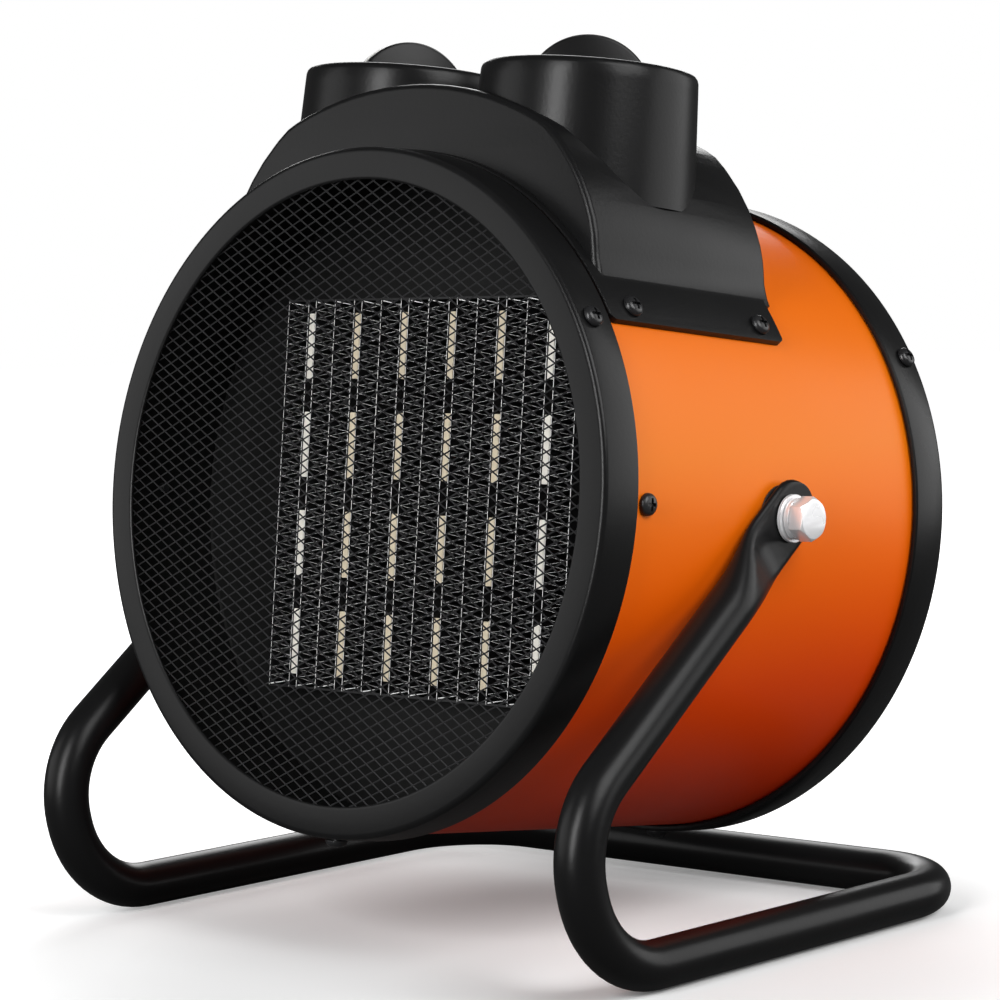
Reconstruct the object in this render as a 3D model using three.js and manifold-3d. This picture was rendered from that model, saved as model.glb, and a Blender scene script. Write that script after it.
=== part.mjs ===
// Forced air heater: an orange sheet drum tilting on a bent black tube stand.
// Millimetres, +Z up, the grille faces -Y.
import * as THREE from "three";
import { mergeGeometries, mergeVertices } from "three/addons/utils/BufferGeometryUtils.js";
import Module from "manifold-3d";

const wasm = await Module();
wasm.setup();

// ---------------------------------------------------------------- driving dimensions
const GAP = 0.3;                  // clearance left between pieces that touch
const ROUND = 40;                 // facets round the drum

const DRUM_R = 114.2;             // drum, outside radius
const DRUM_LENGTH = 182.2;        // bezel face to the rear ring's back face
const SHEET = 1.0;                // drum sheet
const NOSE_UP_DEG = 6.44;         // tilt in which the heater is stored

const BEZEL_WALL = 1.2;
const BEZEL_SKIRT = 15.4;
const BEZEL_SKIRT_WALL = 1.6;     // at its rear edge
const BEZEL_R = DRUM_R + GAP + BEZEL_SKIRT_WALL;
const BEZEL_FRONT_R = BEZEL_R - 0.9;
const BEZEL_FACE = 10.9;          // width of the flat face
const BEZEL_OPEN_R = BEZEL_FRONT_R - BEZEL_FACE;

const REAR_SKIRT = 16.6;
const REAR_SKIRT_WALL = 2.3;
const REAR_R = DRUM_R + GAP + REAR_SKIRT_WALL;
const REAR_FACE = 13.8;
const REAR_OPEN_R = REAR_R - REAR_FACE;
const RING_SCREW_DEG = [30, 150, 270];
const BEZEL_SCREW_Y = 7;
const REAR_SCREW_IN = 6.8;        // from the rear ring's back face
const REAR_SCREW_Y = DRUM_LENGTH - REAR_SCREW_IN;

const NET_LONG = 41;              // diamond of the front net, 5.6 times the real pitch
const NET_SHORT = 21.8;
const NET_STRAND = 1.7;
const NET_THICK = 0.8;

const GUARD_RINGS = 4;
const GUARD_SECTORS = 6;
const GUARD_THICK = 1.2;

const BAFFLE_Y = 46;
const BAFFLE_FRONT_Y = 4;
const BAFFLE_SCREW_Y = 21.5;

const HEAT_SIDE = 137;            // square heating block
const HEAT_Y = 38;
const HEAT_DEPTH = 15;
const HEAT_EDGE = 12;             // from the block's side to its outer stone column
const STONE_COLUMNS = 6;
const STONE_PITCH = (HEAT_SIDE - 2 * HEAT_EDGE) / (STONE_COLUMNS - 1);
const STONE_WIDE = 2.6;
const STONE_LONG = 23;
const STONES_PER_COLUMN = 4;
const STONE_STEP = (HEAT_SIDE + 1.8) / STONES_PER_COLUMN;
const FIN_FOLDS = 6;              // folds up a fin column, a real one has about 68
const FIN_SHEET = 0.8;

const FAN_TIP_GAP = 7.2;          // blade tip to drum sheet
const FAN_R = DRUM_R - SHEET - FAN_TIP_GAP;
const FAN_Y = 122;
const BLADES = 5;
const BLADE_PITCH_DEG = 32;
const BLADE_CHORD = 50;
const MOTOR_R = 31;
const MOTOR_FRONT_Y = 138;
const MOTOR_LONG = 34;
const SHAFT_R = 3;

const HOUSING_ROLL_DEG = 2;       // the saddle sits a little round the drum, towards +X
const HOUSING_HIGH = 24.9;        // saddle above the drum
const HOUSING_TOP_R = DRUM_R + HOUSING_HIGH;
const HOUSING_FRONT_Y = 20.4;
const HOUSING_WALL = 2.5;
// shoulder and side wall: degrees round the drum, height above it
const HOUSING_SIDE = [[60.5, 22.4], [54.2, 17.5], [48.6, 11.8], [44.6, 6.3], [42, 3.2], [39.5, 1.7]];
const FLANGE_THICK = 1.9;
const FLANGE_R = DRUM_R + GAP + FLANGE_THICK;
const FLANGE_FRONT_Y = 16.5;
const FLANGE_LOW_DEG = 31.1;
const FLANGE_HIGH_DEG = 45;
const FLANGE_SCREW_DEG = 34.7;

const COLLAR_R = 36.7;
const COLLAR_SPREAD = 5.3;        // collar side to the middle of the housing
const COLLAR_X = COLLAR_R + COLLAR_SPREAD;
const COLLAR_SET_BACK = 24.5;     // bezel face to the collar's front
const COLLAR_Y = COLLAR_SET_BACK + COLLAR_R;
const COLLAR_HIGH = 34.2;         // rim above the drum
const HOUSING_BEHIND = 12.1;      // housing behind the collars
const HOUSING_REAR_Y = COLLAR_Y + COLLAR_R + HOUSING_BEHIND;
const FLANGE_REAR_Y = HOUSING_REAR_Y - 4;
const FLANGE_SCREW_Y = [28.8, FLANGE_REAR_Y - 10.8];
const COLLAR_Z = DRUM_R + COLLAR_HIGH;
const COLLAR_TAPER = 0.0465;      // growth of the radius per millimetre down
const COLLAR_DEEP = 47;
const COLLAR_RIM = 3.5;
const DIAL_R = COLLAR_R - COLLAR_RIM;
const DIAL_DEEP = 3.5;

const KNOB_R = 24;
const KNOB_FIN_R = 22;
const KNOB_FIN_THICK = 7;
const KNOB_TOP = 11.7;            // fin top above the collar rim
const KNOB_TURN_DEG = [65, 45];   // where the left and the right fin point
const BUSH_R = 5;
const SWITCH_SIDE = 28;
const SWITCH_HIGH = 22;

const TUBE_R = 8;                 // stand tube, half its height over flats
const TUBE_SIDES = 12;
const TUBE_TUCK = 2.2;            // how far a side tube reaches inside the drum's widest line
const STAND_X = DRUM_R + TUBE_R - TUBE_TUCK;
const PIVOT_Y = 91;               // along the drum axis from the bezel
const PIVOT_Z = -1.2;             // from the drum axis
const STAND_UNDER = 32.3;         // base tube's centre below the drum
const STAND_KNEE = 49.2;          // knee above the base tube
const STAND_KNEE_FRONT = 24.9;
const STAND_TOE_FRONT = 14;
const STAND_REAR = 4.2;           // cross tube behind the rear ring
const BASE_Z = -DRUM_R - STAND_UNDER;
const STAND_PATH = [
  [-STAND_KNEE_FRONT, BASE_Z + STAND_KNEE],
  [-STAND_TOE_FRONT, BASE_Z],
  [DRUM_LENGTH + STAND_REAR, BASE_Z],
];
const BEND_R = [32, 35, 33.5];
const FLAT_WIDE = 22.4;           // flattened tube end
const FLAT_REACH = 2.5;            // round end's centre beyond the pivot
const FLAT_THICK = 3.2;
const FLAT_TUCK = 3.1;            // set towards the drum from the tube's centre line
const FLAT_X = STAND_X - FLAT_TUCK;
const FLAT_UNTIL = 14;
const ROUND_FROM = 46;

const BOLT_R = 4;                 // M8
const HEAD_FLATS = 13;
const HEAD_HIGH = 5.3;
const WASHER_R = 8;
const WASHER_THICK = 1.5;
const SPRING_WASHER_THICK = 1.9;
const SPACER_R = 11;
const NUT_SIDE = 26;
const NUT_THICK = 3;

const SCREW_HEAD_R = 3.7;
const SCREW_HEAD_HIGH = 2.3;
const SCREW_SHANK_R = 1.7;
const SCREW_LONG = 5;

const GLAND_R = 9;
const GLAND_BORE_R = 4.2;
const GLAND_HIGH = 12.8;          // above the drum
const GLAND_Z = DRUM_R + GLAND_HIGH;

// ---------------------------------------------------------------- finishes
const finish = (color, roughness, metalness) => ({ color, roughness, metalness });
const ORANGE_PAINT = finish(0xd9602a, 0.45, 0.1);
const BLACK_PAINT = finish(0x1c1c1d, 0.42, 0.1);
const BLACK_NET = finish(0x232323, 0.5, 0.3);
const BLACK_PLASTIC = finish(0x202124, 0.5, 0);
const DIAL_PLASTIC = finish(0x2a2b2e, 0.55, 0);
const KNOB_PLASTIC = finish(0x26272a, 0.45, 0);
const SWITCH_PLASTIC = finish(0xd8d4c6, 0.6, 0);
const ZINC = finish(0xc9ccce, 0.3, 1);
const DARK_ZINC = finish(0x3a3a3a, 0.4, 0.8);
const GALVANISED = finish(0xa7abad, 0.45, 0.9);
const ALUMINIUM = finish(0xb9bcbf, 0.4, 0.95);
const CERAMIC = finish(0xe9e4d4, 0.7, 0);
const STEEL = finish(0x8d9094, 0.35, 0.95);
const FAN_FINISH = finish(0x9fa3a6, 0.4, 0.8);
const NYLON = finish(0x151515, 0.6, 0);
const RUBBER = finish(0x121212, 0.8, 0);

// ---------------------------------------------------------------- shaping helpers
const rad = THREE.MathUtils.degToRad;

function solid(geometry) {
  const bare = new THREE.BufferGeometry();
  bare.setAttribute("position", geometry.getAttribute("position"));
  bare.setIndex(geometry.getIndex());
  const welded = mergeVertices(bare, 1e-4);
  const corners = new Uint32Array(welded.getIndex().array);
  const build = () => new wasm.Manifold(new wasm.Mesh({
    numProp: 3,
    vertProperties: new Float32Array(welded.getAttribute("position").array),
    triVerts: corners,
  }));
  const first = build();
  if (first.volume() > 0) return first;
  // a profile drawn the other way round: turn every face over
  for (let i = 0; i < corners.length; i += 3) {
    [corners[i + 1], corners[i + 2]] = [corners[i + 2], corners[i + 1]];
  }
  return build();
}

function geometryOf(manifold) {
  const mesh = manifold.getMesh();
  const geometry = new THREE.BufferGeometry();
  geometry.setAttribute("position", new THREE.BufferAttribute(mesh.vertProperties, 3));
  geometry.setIndex(new THREE.BufferAttribute(mesh.triVerts, 1));
  geometry.computeVertexNormals();
  return geometry;
}

// Profile points are [radius, y]; the ring turns about the Y axis.
function turned(profile, facets = ROUND, closed = true) {
  const points = profile.map(([r, y]) => new THREE.Vector2(r, y));
  if (closed) points.push(points[0].clone());
  return solid(new THREE.LatheGeometry(points, facets));
}

function box(x0, x1, y0, y1, z0, z1) {
  const geometry = new THREE.BoxGeometry(x1 - x0, y1 - y0, z1 - z0);
  geometry.translate((x0 + x1) / 2, (y0 + y1) / 2, (z0 + z1) / 2);
  return solid(geometry);
}

// A shape drawn in X and Z, given thickness along +Y from y0.
function slab(shape, y0, thick, options = {}) {
  const geometry = new THREE.ExtrudeGeometry(shape, {
    depth: thick,
    bevelEnabled: false,
    curveSegments: 6,
    ...options,
  });
  geometry.rotateX(Math.PI / 2);
  geometry.translate(0, y0 + thick, 0);
  return solid(geometry);
}

function shapeOf(points) {
  return new THREE.Shape(points.map(([x, z]) => new THREE.Vector2(x, z)));
}

// A rod of the given radius from one point to another.
function rod(from, to, radius, facets = 12, endRadius = radius) {
  const a = new THREE.Vector3(...from);
  const b = new THREE.Vector3(...to);
  const along = b.clone().sub(a);
  const geometry = new THREE.CylinderGeometry(endRadius, radius, along.length(), facets);
  geometry.translate(0, along.length() / 2, 0);
  const turn = new THREE.Quaternion().setFromUnitVectors(
    new THREE.Vector3(0, 1, 0),
    along.normalize(),
  );
  geometry.applyQuaternion(turn);
  geometry.translate(a.x, a.y, a.z);
  return solid(geometry);
}

function join(parts) {
  return parts.reduce((sum, part) => sum.add(part));
}

function cut(body, tools) {
  return tools.reduce((left, tool) => left.subtract(tool), body);
}

function placed(manifold, matrix) {
  const geometry = geometryOf(manifold);
  geometry.applyMatrix4(matrix);
  return solid(geometry);
}

const heater = new THREE.Group();
const housing = new THREE.Group();
const stand = new THREE.Group();
heater.name = "heater";
housing.name = "housing";
stand.name = "stand";
housing.rotation.y = rad(HOUSING_ROLL_DEG);
heater.add(housing);

function piece(name, shape, look, parent = heater) {
  const material = new THREE.MeshStandardMaterial(look);
  material.name = name;
  const mesh = new THREE.Mesh(geometryOf(shape), material);
  mesh.name = name;
  parent.add(mesh);
  return mesh;
}

// A point on the drum's side: angle from +X towards +Z, radius and distance along Y.
function onDrum(degrees, radius, y) {
  return [radius * Math.cos(rad(degrees)), y, radius * Math.sin(rad(degrees))];
}

function drumHole(degrees, y, radius) {
  return rod(onDrum(degrees, DRUM_R - 12, y), onDrum(degrees, DRUM_R + 12, y), radius, 8);
}

// ---------------------------------------------------------------- drum and its rings
const drumFrontY = BEZEL_WALL + NET_THICK + 2 * GAP;
const drumRearY = DRUM_LENGTH - BEZEL_WALL - GUARD_THICK - 2 * GAP;
const screwHole = SCREW_SHANK_R + GAP;
const pivotHoles = [0, 180].map((a) => drumHole(a, PIVOT_Y, BOLT_R + 2 * GAP).translate([0, 0, PIVOT_Z]));
const bezelHoles = RING_SCREW_DEG.map((a) => drumHole(a, BEZEL_SCREW_Y, screwHole));
const rearHoles = RING_SCREW_DEG.map((a) => drumHole(a, REAR_SCREW_Y, screwHole));
const baffleHoles = [0, 180].map((a) => drumHole(a, BAFFLE_SCREW_Y, screwHole));
const flangeAngles = [FLANGE_SCREW_DEG, 180 - FLANGE_SCREW_DEG];
const flangeHoles = flangeAngles.flatMap((a) => FLANGE_SCREW_Y.map((y) => drumHole(a, y, screwHole)));
const rolledHoles = flangeHoles.map((hole) => hole.rotate([0, HOUSING_ROLL_DEG, 0]));
const wiringWindow = box(-14, 14, 86, 102, DRUM_R - 14, DRUM_R + 6);

const drumInnerR = DRUM_R - SHEET;
piece("drum_shell", cut(
  turned([
    [drumInnerR, drumFrontY], [DRUM_R, drumFrontY],
    [DRUM_R, drumRearY], [drumInnerR, drumRearY],
  ]),
  [...pivotHoles, ...bezelHoles, ...rearHoles, ...baffleHoles, ...rolledHoles, wiringWindow],
), ORANGE_PAINT);

piece("front_bezel", cut(
  turned([
    [BEZEL_OPEN_R, 0], [BEZEL_FRONT_R - 1.4, 0], [BEZEL_FRONT_R - 0.4, 0.4],
    [BEZEL_FRONT_R, 1.4], [BEZEL_R, BEZEL_SKIRT],
    [DRUM_R + GAP, BEZEL_SKIRT], [DRUM_R + GAP, BEZEL_WALL + 0.2],
    [DRUM_R, BEZEL_WALL], [BEZEL_OPEN_R, BEZEL_WALL],
  ]),
  bezelHoles,
), BLACK_PAINT);

piece("rear_ring", cut(
  turned([
    [REAR_OPEN_R, DRUM_LENGTH], [REAR_R - 1.2, DRUM_LENGTH], [REAR_R, DRUM_LENGTH - 1.2],
    [REAR_R, DRUM_LENGTH - REAR_SKIRT], [DRUM_R + GAP, DRUM_LENGTH - REAR_SKIRT],
    [DRUM_R + GAP, DRUM_LENGTH - BEZEL_WALL], [REAR_OPEN_R, DRUM_LENGTH - BEZEL_WALL],
  ]),
  rearHoles,
), BLACK_PAINT);

// Flat net of expanded sheet behind the bezel.
function diamondNet() {
  const y0 = BEZEL_WALL + GAP;
  const long = NET_LONG / 2 - NET_STRAND;
  const short = NET_SHORT / 2 - NET_STRAND * 0.6;
  const holes = [];
  const rows = Math.ceil(2 * BEZEL_OPEN_R / NET_SHORT);
  const columns = Math.ceil(BEZEL_OPEN_R / NET_LONG);
  for (let row = -rows; row <= rows; row += 1) {
    for (let column = -columns - 1; column <= columns; column += 1) {
      const x = (column + (row % 2 ? 0.5 : 0)) * NET_LONG;
      const z = row * NET_SHORT / 2;
      if (Math.hypot(x, z) > BEZEL_OPEN_R + 1) continue;
      const diamond = [[x - long, z], [x, z - short], [x + long, z], [x, z + short]];
      const geometry = new THREE.ExtrudeGeometry(shapeOf(diamond), { depth: 4, bevelEnabled: false });
      geometry.rotateX(Math.PI / 2);
      geometry.translate(0, y0 + 2, 0);
      holes.push(geometry);
    }
  }
  const rim = turned([[0, y0 - 2], [BEZEL_OPEN_R - 0.8, y0 - 2], [BEZEL_OPEN_R - 0.8, y0 + 4], [0, y0 + 4]],
    ROUND, false);
  const disc = turned([[0, y0], [DRUM_R - GAP, y0], [DRUM_R - GAP, y0 + NET_THICK], [0, y0 + NET_THICK]],
    ROUND, false);
  const plain = holes.map((g) => g.deleteAttribute("normal").deleteAttribute("uv"));
  return disc.subtract(solid(mergeGeometries(plain)).intersect(rim));
}
piece("front_net", diamondNet(), BLACK_NET);

// Slotted plate over the rear intake.
function intakeGuard() {
  const y0 = DRUM_LENGTH - BEZEL_WALL - GAP - GUARD_THICK;
  const inner = 22;
  const step = (REAR_OPEN_R - 3 - inner) / GUARD_RINGS;
  const half = Math.PI / GUARD_SECTORS;
  const slots = [];
  for (let ring = 0; ring < GUARD_RINGS; ring += 1) {
    const low = inner + ring * step + 1.4;
    const high = low + step - 2.8;
    for (let sector = 0; sector < GUARD_SECTORS; sector += 1) {
      const middle = 2 * half * sector;
      const spread = half - 3 / low;
      const outline = [];
      for (let i = 0; i <= 3; i += 1) {
        const angle = middle - spread + spread * i / 1.5;
        outline.push([high * Math.cos(angle), high * Math.sin(angle)]);
      }
      for (let i = 3; i >= 0; i -= 1) {
        const angle = middle - spread + spread * i / 1.5;
        outline.push([low * Math.cos(angle), low * Math.sin(angle)]);
      }
      slots.push(shapeOf(outline));
    }
  }
  const disc = new THREE.Shape();
  disc.absarc(0, 0, DRUM_R - GAP, 0, 2 * Math.PI, false);
  disc.holes = slots;
  return slab(disc, y0, GUARD_THICK, { curveSegments: ROUND / 2 });
}
piece("rear_guard", intakeGuard(), BLACK_PAINT);

// ---------------------------------------------------------------- heating block
const halfHeat = HEAT_SIDE / 2;
const window = halfHeat + GAP;
const flangeOuter = drumInnerR - GAP;
piece("baffle_plate", cut(
  turned([
    [0, BAFFLE_Y], [flangeOuter - 1, BAFFLE_Y], [flangeOuter - 1, BAFFLE_FRONT_Y],
    [flangeOuter, BAFFLE_FRONT_Y], [flangeOuter, BAFFLE_Y + 1], [0, BAFFLE_Y + 1],
  ], ROUND, false),
  [
    box(-window, window, BAFFLE_Y - 5, BAFFLE_Y + 5, -window, window),
    ...baffleHoles, ...bezelHoles, ...rolledHoles,
  ],
), BLACK_PAINT);

const columnX = (i) => (i - (STONE_COLUMNS - 1) / 2) * STONE_PITCH;
const stripHalf = halfHeat - 2;
for (let i = 0; i < STONE_COLUMNS; i += 1) {
  const x = columnX(i);
  const back = box(x - 1, x + 1, HEAT_Y + 1.5, HEAT_Y + HEAT_DEPTH, -stripHalf, stripHalf);
  const stones = [];
  for (let k = 0; k < STONES_PER_COLUMN; k += 1) {
    const z = (k - (STONES_PER_COLUMN - 1) / 2) * STONE_STEP;
    stones.push(box(
      x - STONE_WIDE / 2, x + STONE_WIDE / 2, HEAT_Y, HEAT_Y + HEAT_DEPTH - 0.5,
      z - STONE_LONG / 2, z + STONE_LONG / 2,
    ));
  }
  piece(`ptc_strip_${i + 1}`, join([back, ...stones]), CERAMIC);
}

// One folded ribbon between two upright sheets.
function foldedRibbon(x0, x1) {
  const low = -halfHeat + FIN_SHEET;
  const step = (HEAT_SIDE - 2 * FIN_SHEET) / FIN_FOLDS;
  const left = [];
  for (let i = 0; i <= FIN_FOLDS; i += 1) {
    left.push([i % 2 ? x1 : x0, low + i * step]);
  }
  const outline = [
    ...left.map(([x, z]) => [x + FIN_SHEET / 2, z]),
    ...left.reverse().map(([x, z]) => [x - FIN_SHEET / 2, z]),
  ];
  return slab(shapeOf(outline), HEAT_Y + 0.4, HEAT_DEPTH - 0.8);
}

function finPack() {
  const edges = [-halfHeat];
  for (let i = 0; i < STONE_COLUMNS; i += 1) {
    edges.push(columnX(i) - STONE_WIDE / 2 - GAP, columnX(i) + STONE_WIDE / 2 + GAP);
  }
  edges.push(halfHeat);
  const parts = [-1, 1].map((side) => box(
    -halfHeat, halfHeat, HEAT_Y, HEAT_Y + HEAT_DEPTH,
    side * (halfHeat - FIN_SHEET / 2) - FIN_SHEET / 2, side * (halfHeat - FIN_SHEET / 2) + FIN_SHEET / 2,
  ));
  const upright = (x) => box(
    x, x + FIN_SHEET, HEAT_Y, HEAT_Y + HEAT_DEPTH, -halfHeat + 0.1, halfHeat - 0.1,
  );
  for (let i = 0; i < edges.length; i += 2) {
    const x0 = edges[i];
    const x1 = edges[i + 1];
    const inner = [x0 + FIN_SHEET * 0.5, x1 - FIN_SHEET * 0.5];
    parts.push(upright(x0), upright(x1 - FIN_SHEET));
    if (x1 - x0 > STONE_PITCH * 0.6) {
      const middle = (x0 + x1) / 2;
      parts.push(upright(middle - FIN_SHEET / 2));
      parts.push(foldedRibbon(inner[0], middle), foldedRibbon(middle, inner[1]));
    } else {
      parts.push(foldedRibbon(inner[0], inner[1]));
    }
  }
  return join(parts);
}
piece("ptc_fin_pack", finPack(), ALUMINIUM);

const barY = HEAT_Y + HEAT_DEPTH + GAP;
[["upper", 1], ["lower", -1]].forEach(([where, side]) => {
  const z = side * (halfHeat - 1);
  const reach = halfHeat + 11.5;
  const bar = box(-reach, reach, barY, barY + 2.5, Math.min(z, z + side * 8), Math.max(z, z + side * 8));
  const feet = [-1, 1].map((end) => box(
    end > 0 ? reach - 7 : -reach, end > 0 ? reach : 7 - reach, BAFFLE_Y + 1 + GAP, barY + 0.5,
    Math.min(z + side * 2, z + side * 8), Math.max(z + side * 2, z + side * 8),
  ));
  piece(`ptc_clamp_${where}`, join([bar, ...feet]), GALVANISED);
});

const cutoutY = BAFFLE_Y + 1 + GAP;
const cutoutZ = halfHeat + 23.5;
piece("thermal_cutout", join([
  rod([0, cutoutY, cutoutZ], [0, cutoutY + 6, cutoutZ], 8, 12),
  box(-12, 12, cutoutY, cutoutY + 0.8, cutoutZ - 4, cutoutZ + 4),
  box(-5, -3, cutoutY + 5, cutoutY + 12, cutoutZ - 3, cutoutZ + 3),
  box(3, 5, cutoutY + 5, cutoutY + 12, cutoutZ - 3, cutoutZ + 3),
]), SWITCH_PLASTIC);

// ---------------------------------------------------------------- fan and motor
function fanWheel() {
  const hubR = 26;
  const hub = turned([
    [SHAFT_R + GAP, FAN_Y - 8], [hubR, FAN_Y - 8], [hubR, FAN_Y + 8],
    [hubR - 2, FAN_Y + 8], [hubR - 2, FAN_Y - 5], [9, FAN_Y - 5],
    [9, FAN_Y + 6], [SHAFT_R + GAP, FAN_Y + 6],
  ], 24);
  const blades = [];
  for (let i = 0; i < BLADES; i += 1) {
    const outline = shapeOf([
      [hubR - 1, -BLADE_CHORD * 0.26], [60, -BLADE_CHORD * 0.42], [FAN_R - 14, -BLADE_CHORD * 0.5],
      [FAN_R - 4, -BLADE_CHORD * 0.4], [FAN_R, 0], [FAN_R - 4, BLADE_CHORD * 0.35],
      [FAN_R - 18, BLADE_CHORD * 0.5], [60, BLADE_CHORD * 0.4], [hubR - 1, BLADE_CHORD * 0.26],
    ]);
    const geometry = new THREE.ExtrudeGeometry(outline, { depth: 1.4, bevelEnabled: false });
    geometry.rotateX(Math.PI / 2);
    geometry.rotateX(rad(BLADE_PITCH_DEG));
    geometry.rotateY(rad(360 * i / BLADES));
    geometry.translate(0, FAN_Y, 0);
    blades.push(solid(geometry));
  }
  return join([hub, ...blades]);
}
piece("fan_wheel", fanWheel(), FAN_FINISH);

const motorRearY = MOTOR_FRONT_Y + MOTOR_LONG;
const capDeep = 8;
const bearingR = 8;
piece("motor_stator", turned([
  [MOTOR_R - 11, MOTOR_FRONT_Y + capDeep + GAP], [MOTOR_R, MOTOR_FRONT_Y + capDeep + GAP],
  [MOTOR_R, motorRearY - capDeep - GAP], [MOTOR_R - 11, motorRearY - capDeep - GAP],
], 20), STEEL);

function motorCap(outerY, innerY) {
  const inward = Math.sign(innerY - outerY);
  const ring = [
    [SHAFT_R + 1, outerY], [MOTOR_R - 3, outerY], [MOTOR_R, outerY + inward * 3],
    [MOTOR_R, innerY], [MOTOR_R - 3, innerY], [MOTOR_R - 3, outerY + inward * 3],
    [bearingR + GAP, outerY + inward * 3], [bearingR + GAP, outerY + inward * 1.2],
    [SHAFT_R + 1, outerY + inward * 1.2],
  ];
  return turned(ring, 16);
}
piece("motor_front_cap", motorCap(MOTOR_FRONT_Y, MOTOR_FRONT_Y + capDeep), GALVANISED);
piece("motor_rear_cap", motorCap(motorRearY, motorRearY - capDeep), GALVANISED);

[["front", MOTOR_FRONT_Y + 1.2 + GAP], ["rear", motorRearY - 1.2 - GAP - 4]].forEach(([end, y]) => {
  piece(`motor_bearing_${end}`, turned([
    [SHAFT_R + GAP, y], [bearingR, y], [bearingR, y + 4], [SHAFT_R + GAP, y + 4],
  ], 16), STEEL);
});

piece("motor_rotor", turned([
  [0, FAN_Y - 12], [SHAFT_R, FAN_Y - 12], [SHAFT_R, MOTOR_FRONT_Y + 9],
  [MOTOR_R - 12, MOTOR_FRONT_Y + 9], [MOTOR_R - 12, motorRearY - 9], [SHAFT_R, motorRearY - 9],
  [SHAFT_R, motorRearY + 2], [0, motorRearY + 2],
], 16, false), STEEL);

function motorBracket() {
  const y0 = motorRearY - 4;
  const ring = turned([
    [MOTOR_R + GAP, y0], [MOTOR_R + 6, y0], [MOTOR_R + 6, y0 + 2], [MOTOR_R + GAP, y0 + 2],
  ], 16);
  const arms = RING_SCREW_DEG.map((degrees) => {
    const arm = box(MOTOR_R + 3, drumInnerR - 2.6, y0, y0 + 2, -7, 7);
    const tab = box(drumInnerR - 2.8, drumInnerR - 1, y0, REAR_SCREW_Y + 3.7, -7, 7);
    const turn = new THREE.Matrix4().makeRotationY(-rad(degrees));
    return placed(join([arm, tab]), turn);
  });
  return cut(join([ring, ...arms]), rearHoles);
}
piece("motor_bracket", motorBracket(), GALVANISED);

// ---------------------------------------------------------------- control housing
function collarMatrix(side) {
  return new THREE.Matrix4().makeTranslation(side * COLLAR_X, COLLAR_Y, COLLAR_Z);
}

function saddleOutline(inset) {
  const half = [];
  for (let degrees = 90; degrees >= 65; degrees -= 5) {
    const r = HOUSING_TOP_R - inset;
    half.push([r * Math.cos(rad(degrees)), r * Math.sin(rad(degrees))]);
  }
  const aim = [30, DRUM_R * 0.35];
  HOUSING_SIDE.forEach(([degrees, high]) => {
    const x = (DRUM_R + high) * Math.cos(rad(degrees));
    const z = (DRUM_R + high) * Math.sin(rad(degrees));
    const scale = 1 - inset / Math.hypot(x - aim[0], z - aim[1]);
    half.push([aim[0] + (x - aim[0]) * scale, aim[1] + (z - aim[1]) * scale]);
  });
  const mirrored = half.slice(1).map(([x, z]) => [-x, z]);
  return shapeOf([...mirrored.reverse(), ...half]);
}

// Ring sector on the drum, angles from +X towards +Z.
function bandSector(r0, r1, from, to, y0, thick) {
  const outline = [];
  const steps = Math.ceil((to - from) / 4);
  for (let i = 0; i <= steps; i += 1) {
    const angle = rad(from + (to - from) * i / steps);
    outline.push([r1 * Math.cos(angle), r1 * Math.sin(angle)]);
  }
  for (let i = steps; i >= 0; i -= 1) {
    const angle = rad(from + (to - from) * i / steps);
    outline.push([r0 * Math.cos(angle), r0 * Math.sin(angle)]);
  }
  return slab(shapeOf(outline), y0, thick);
}

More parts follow.
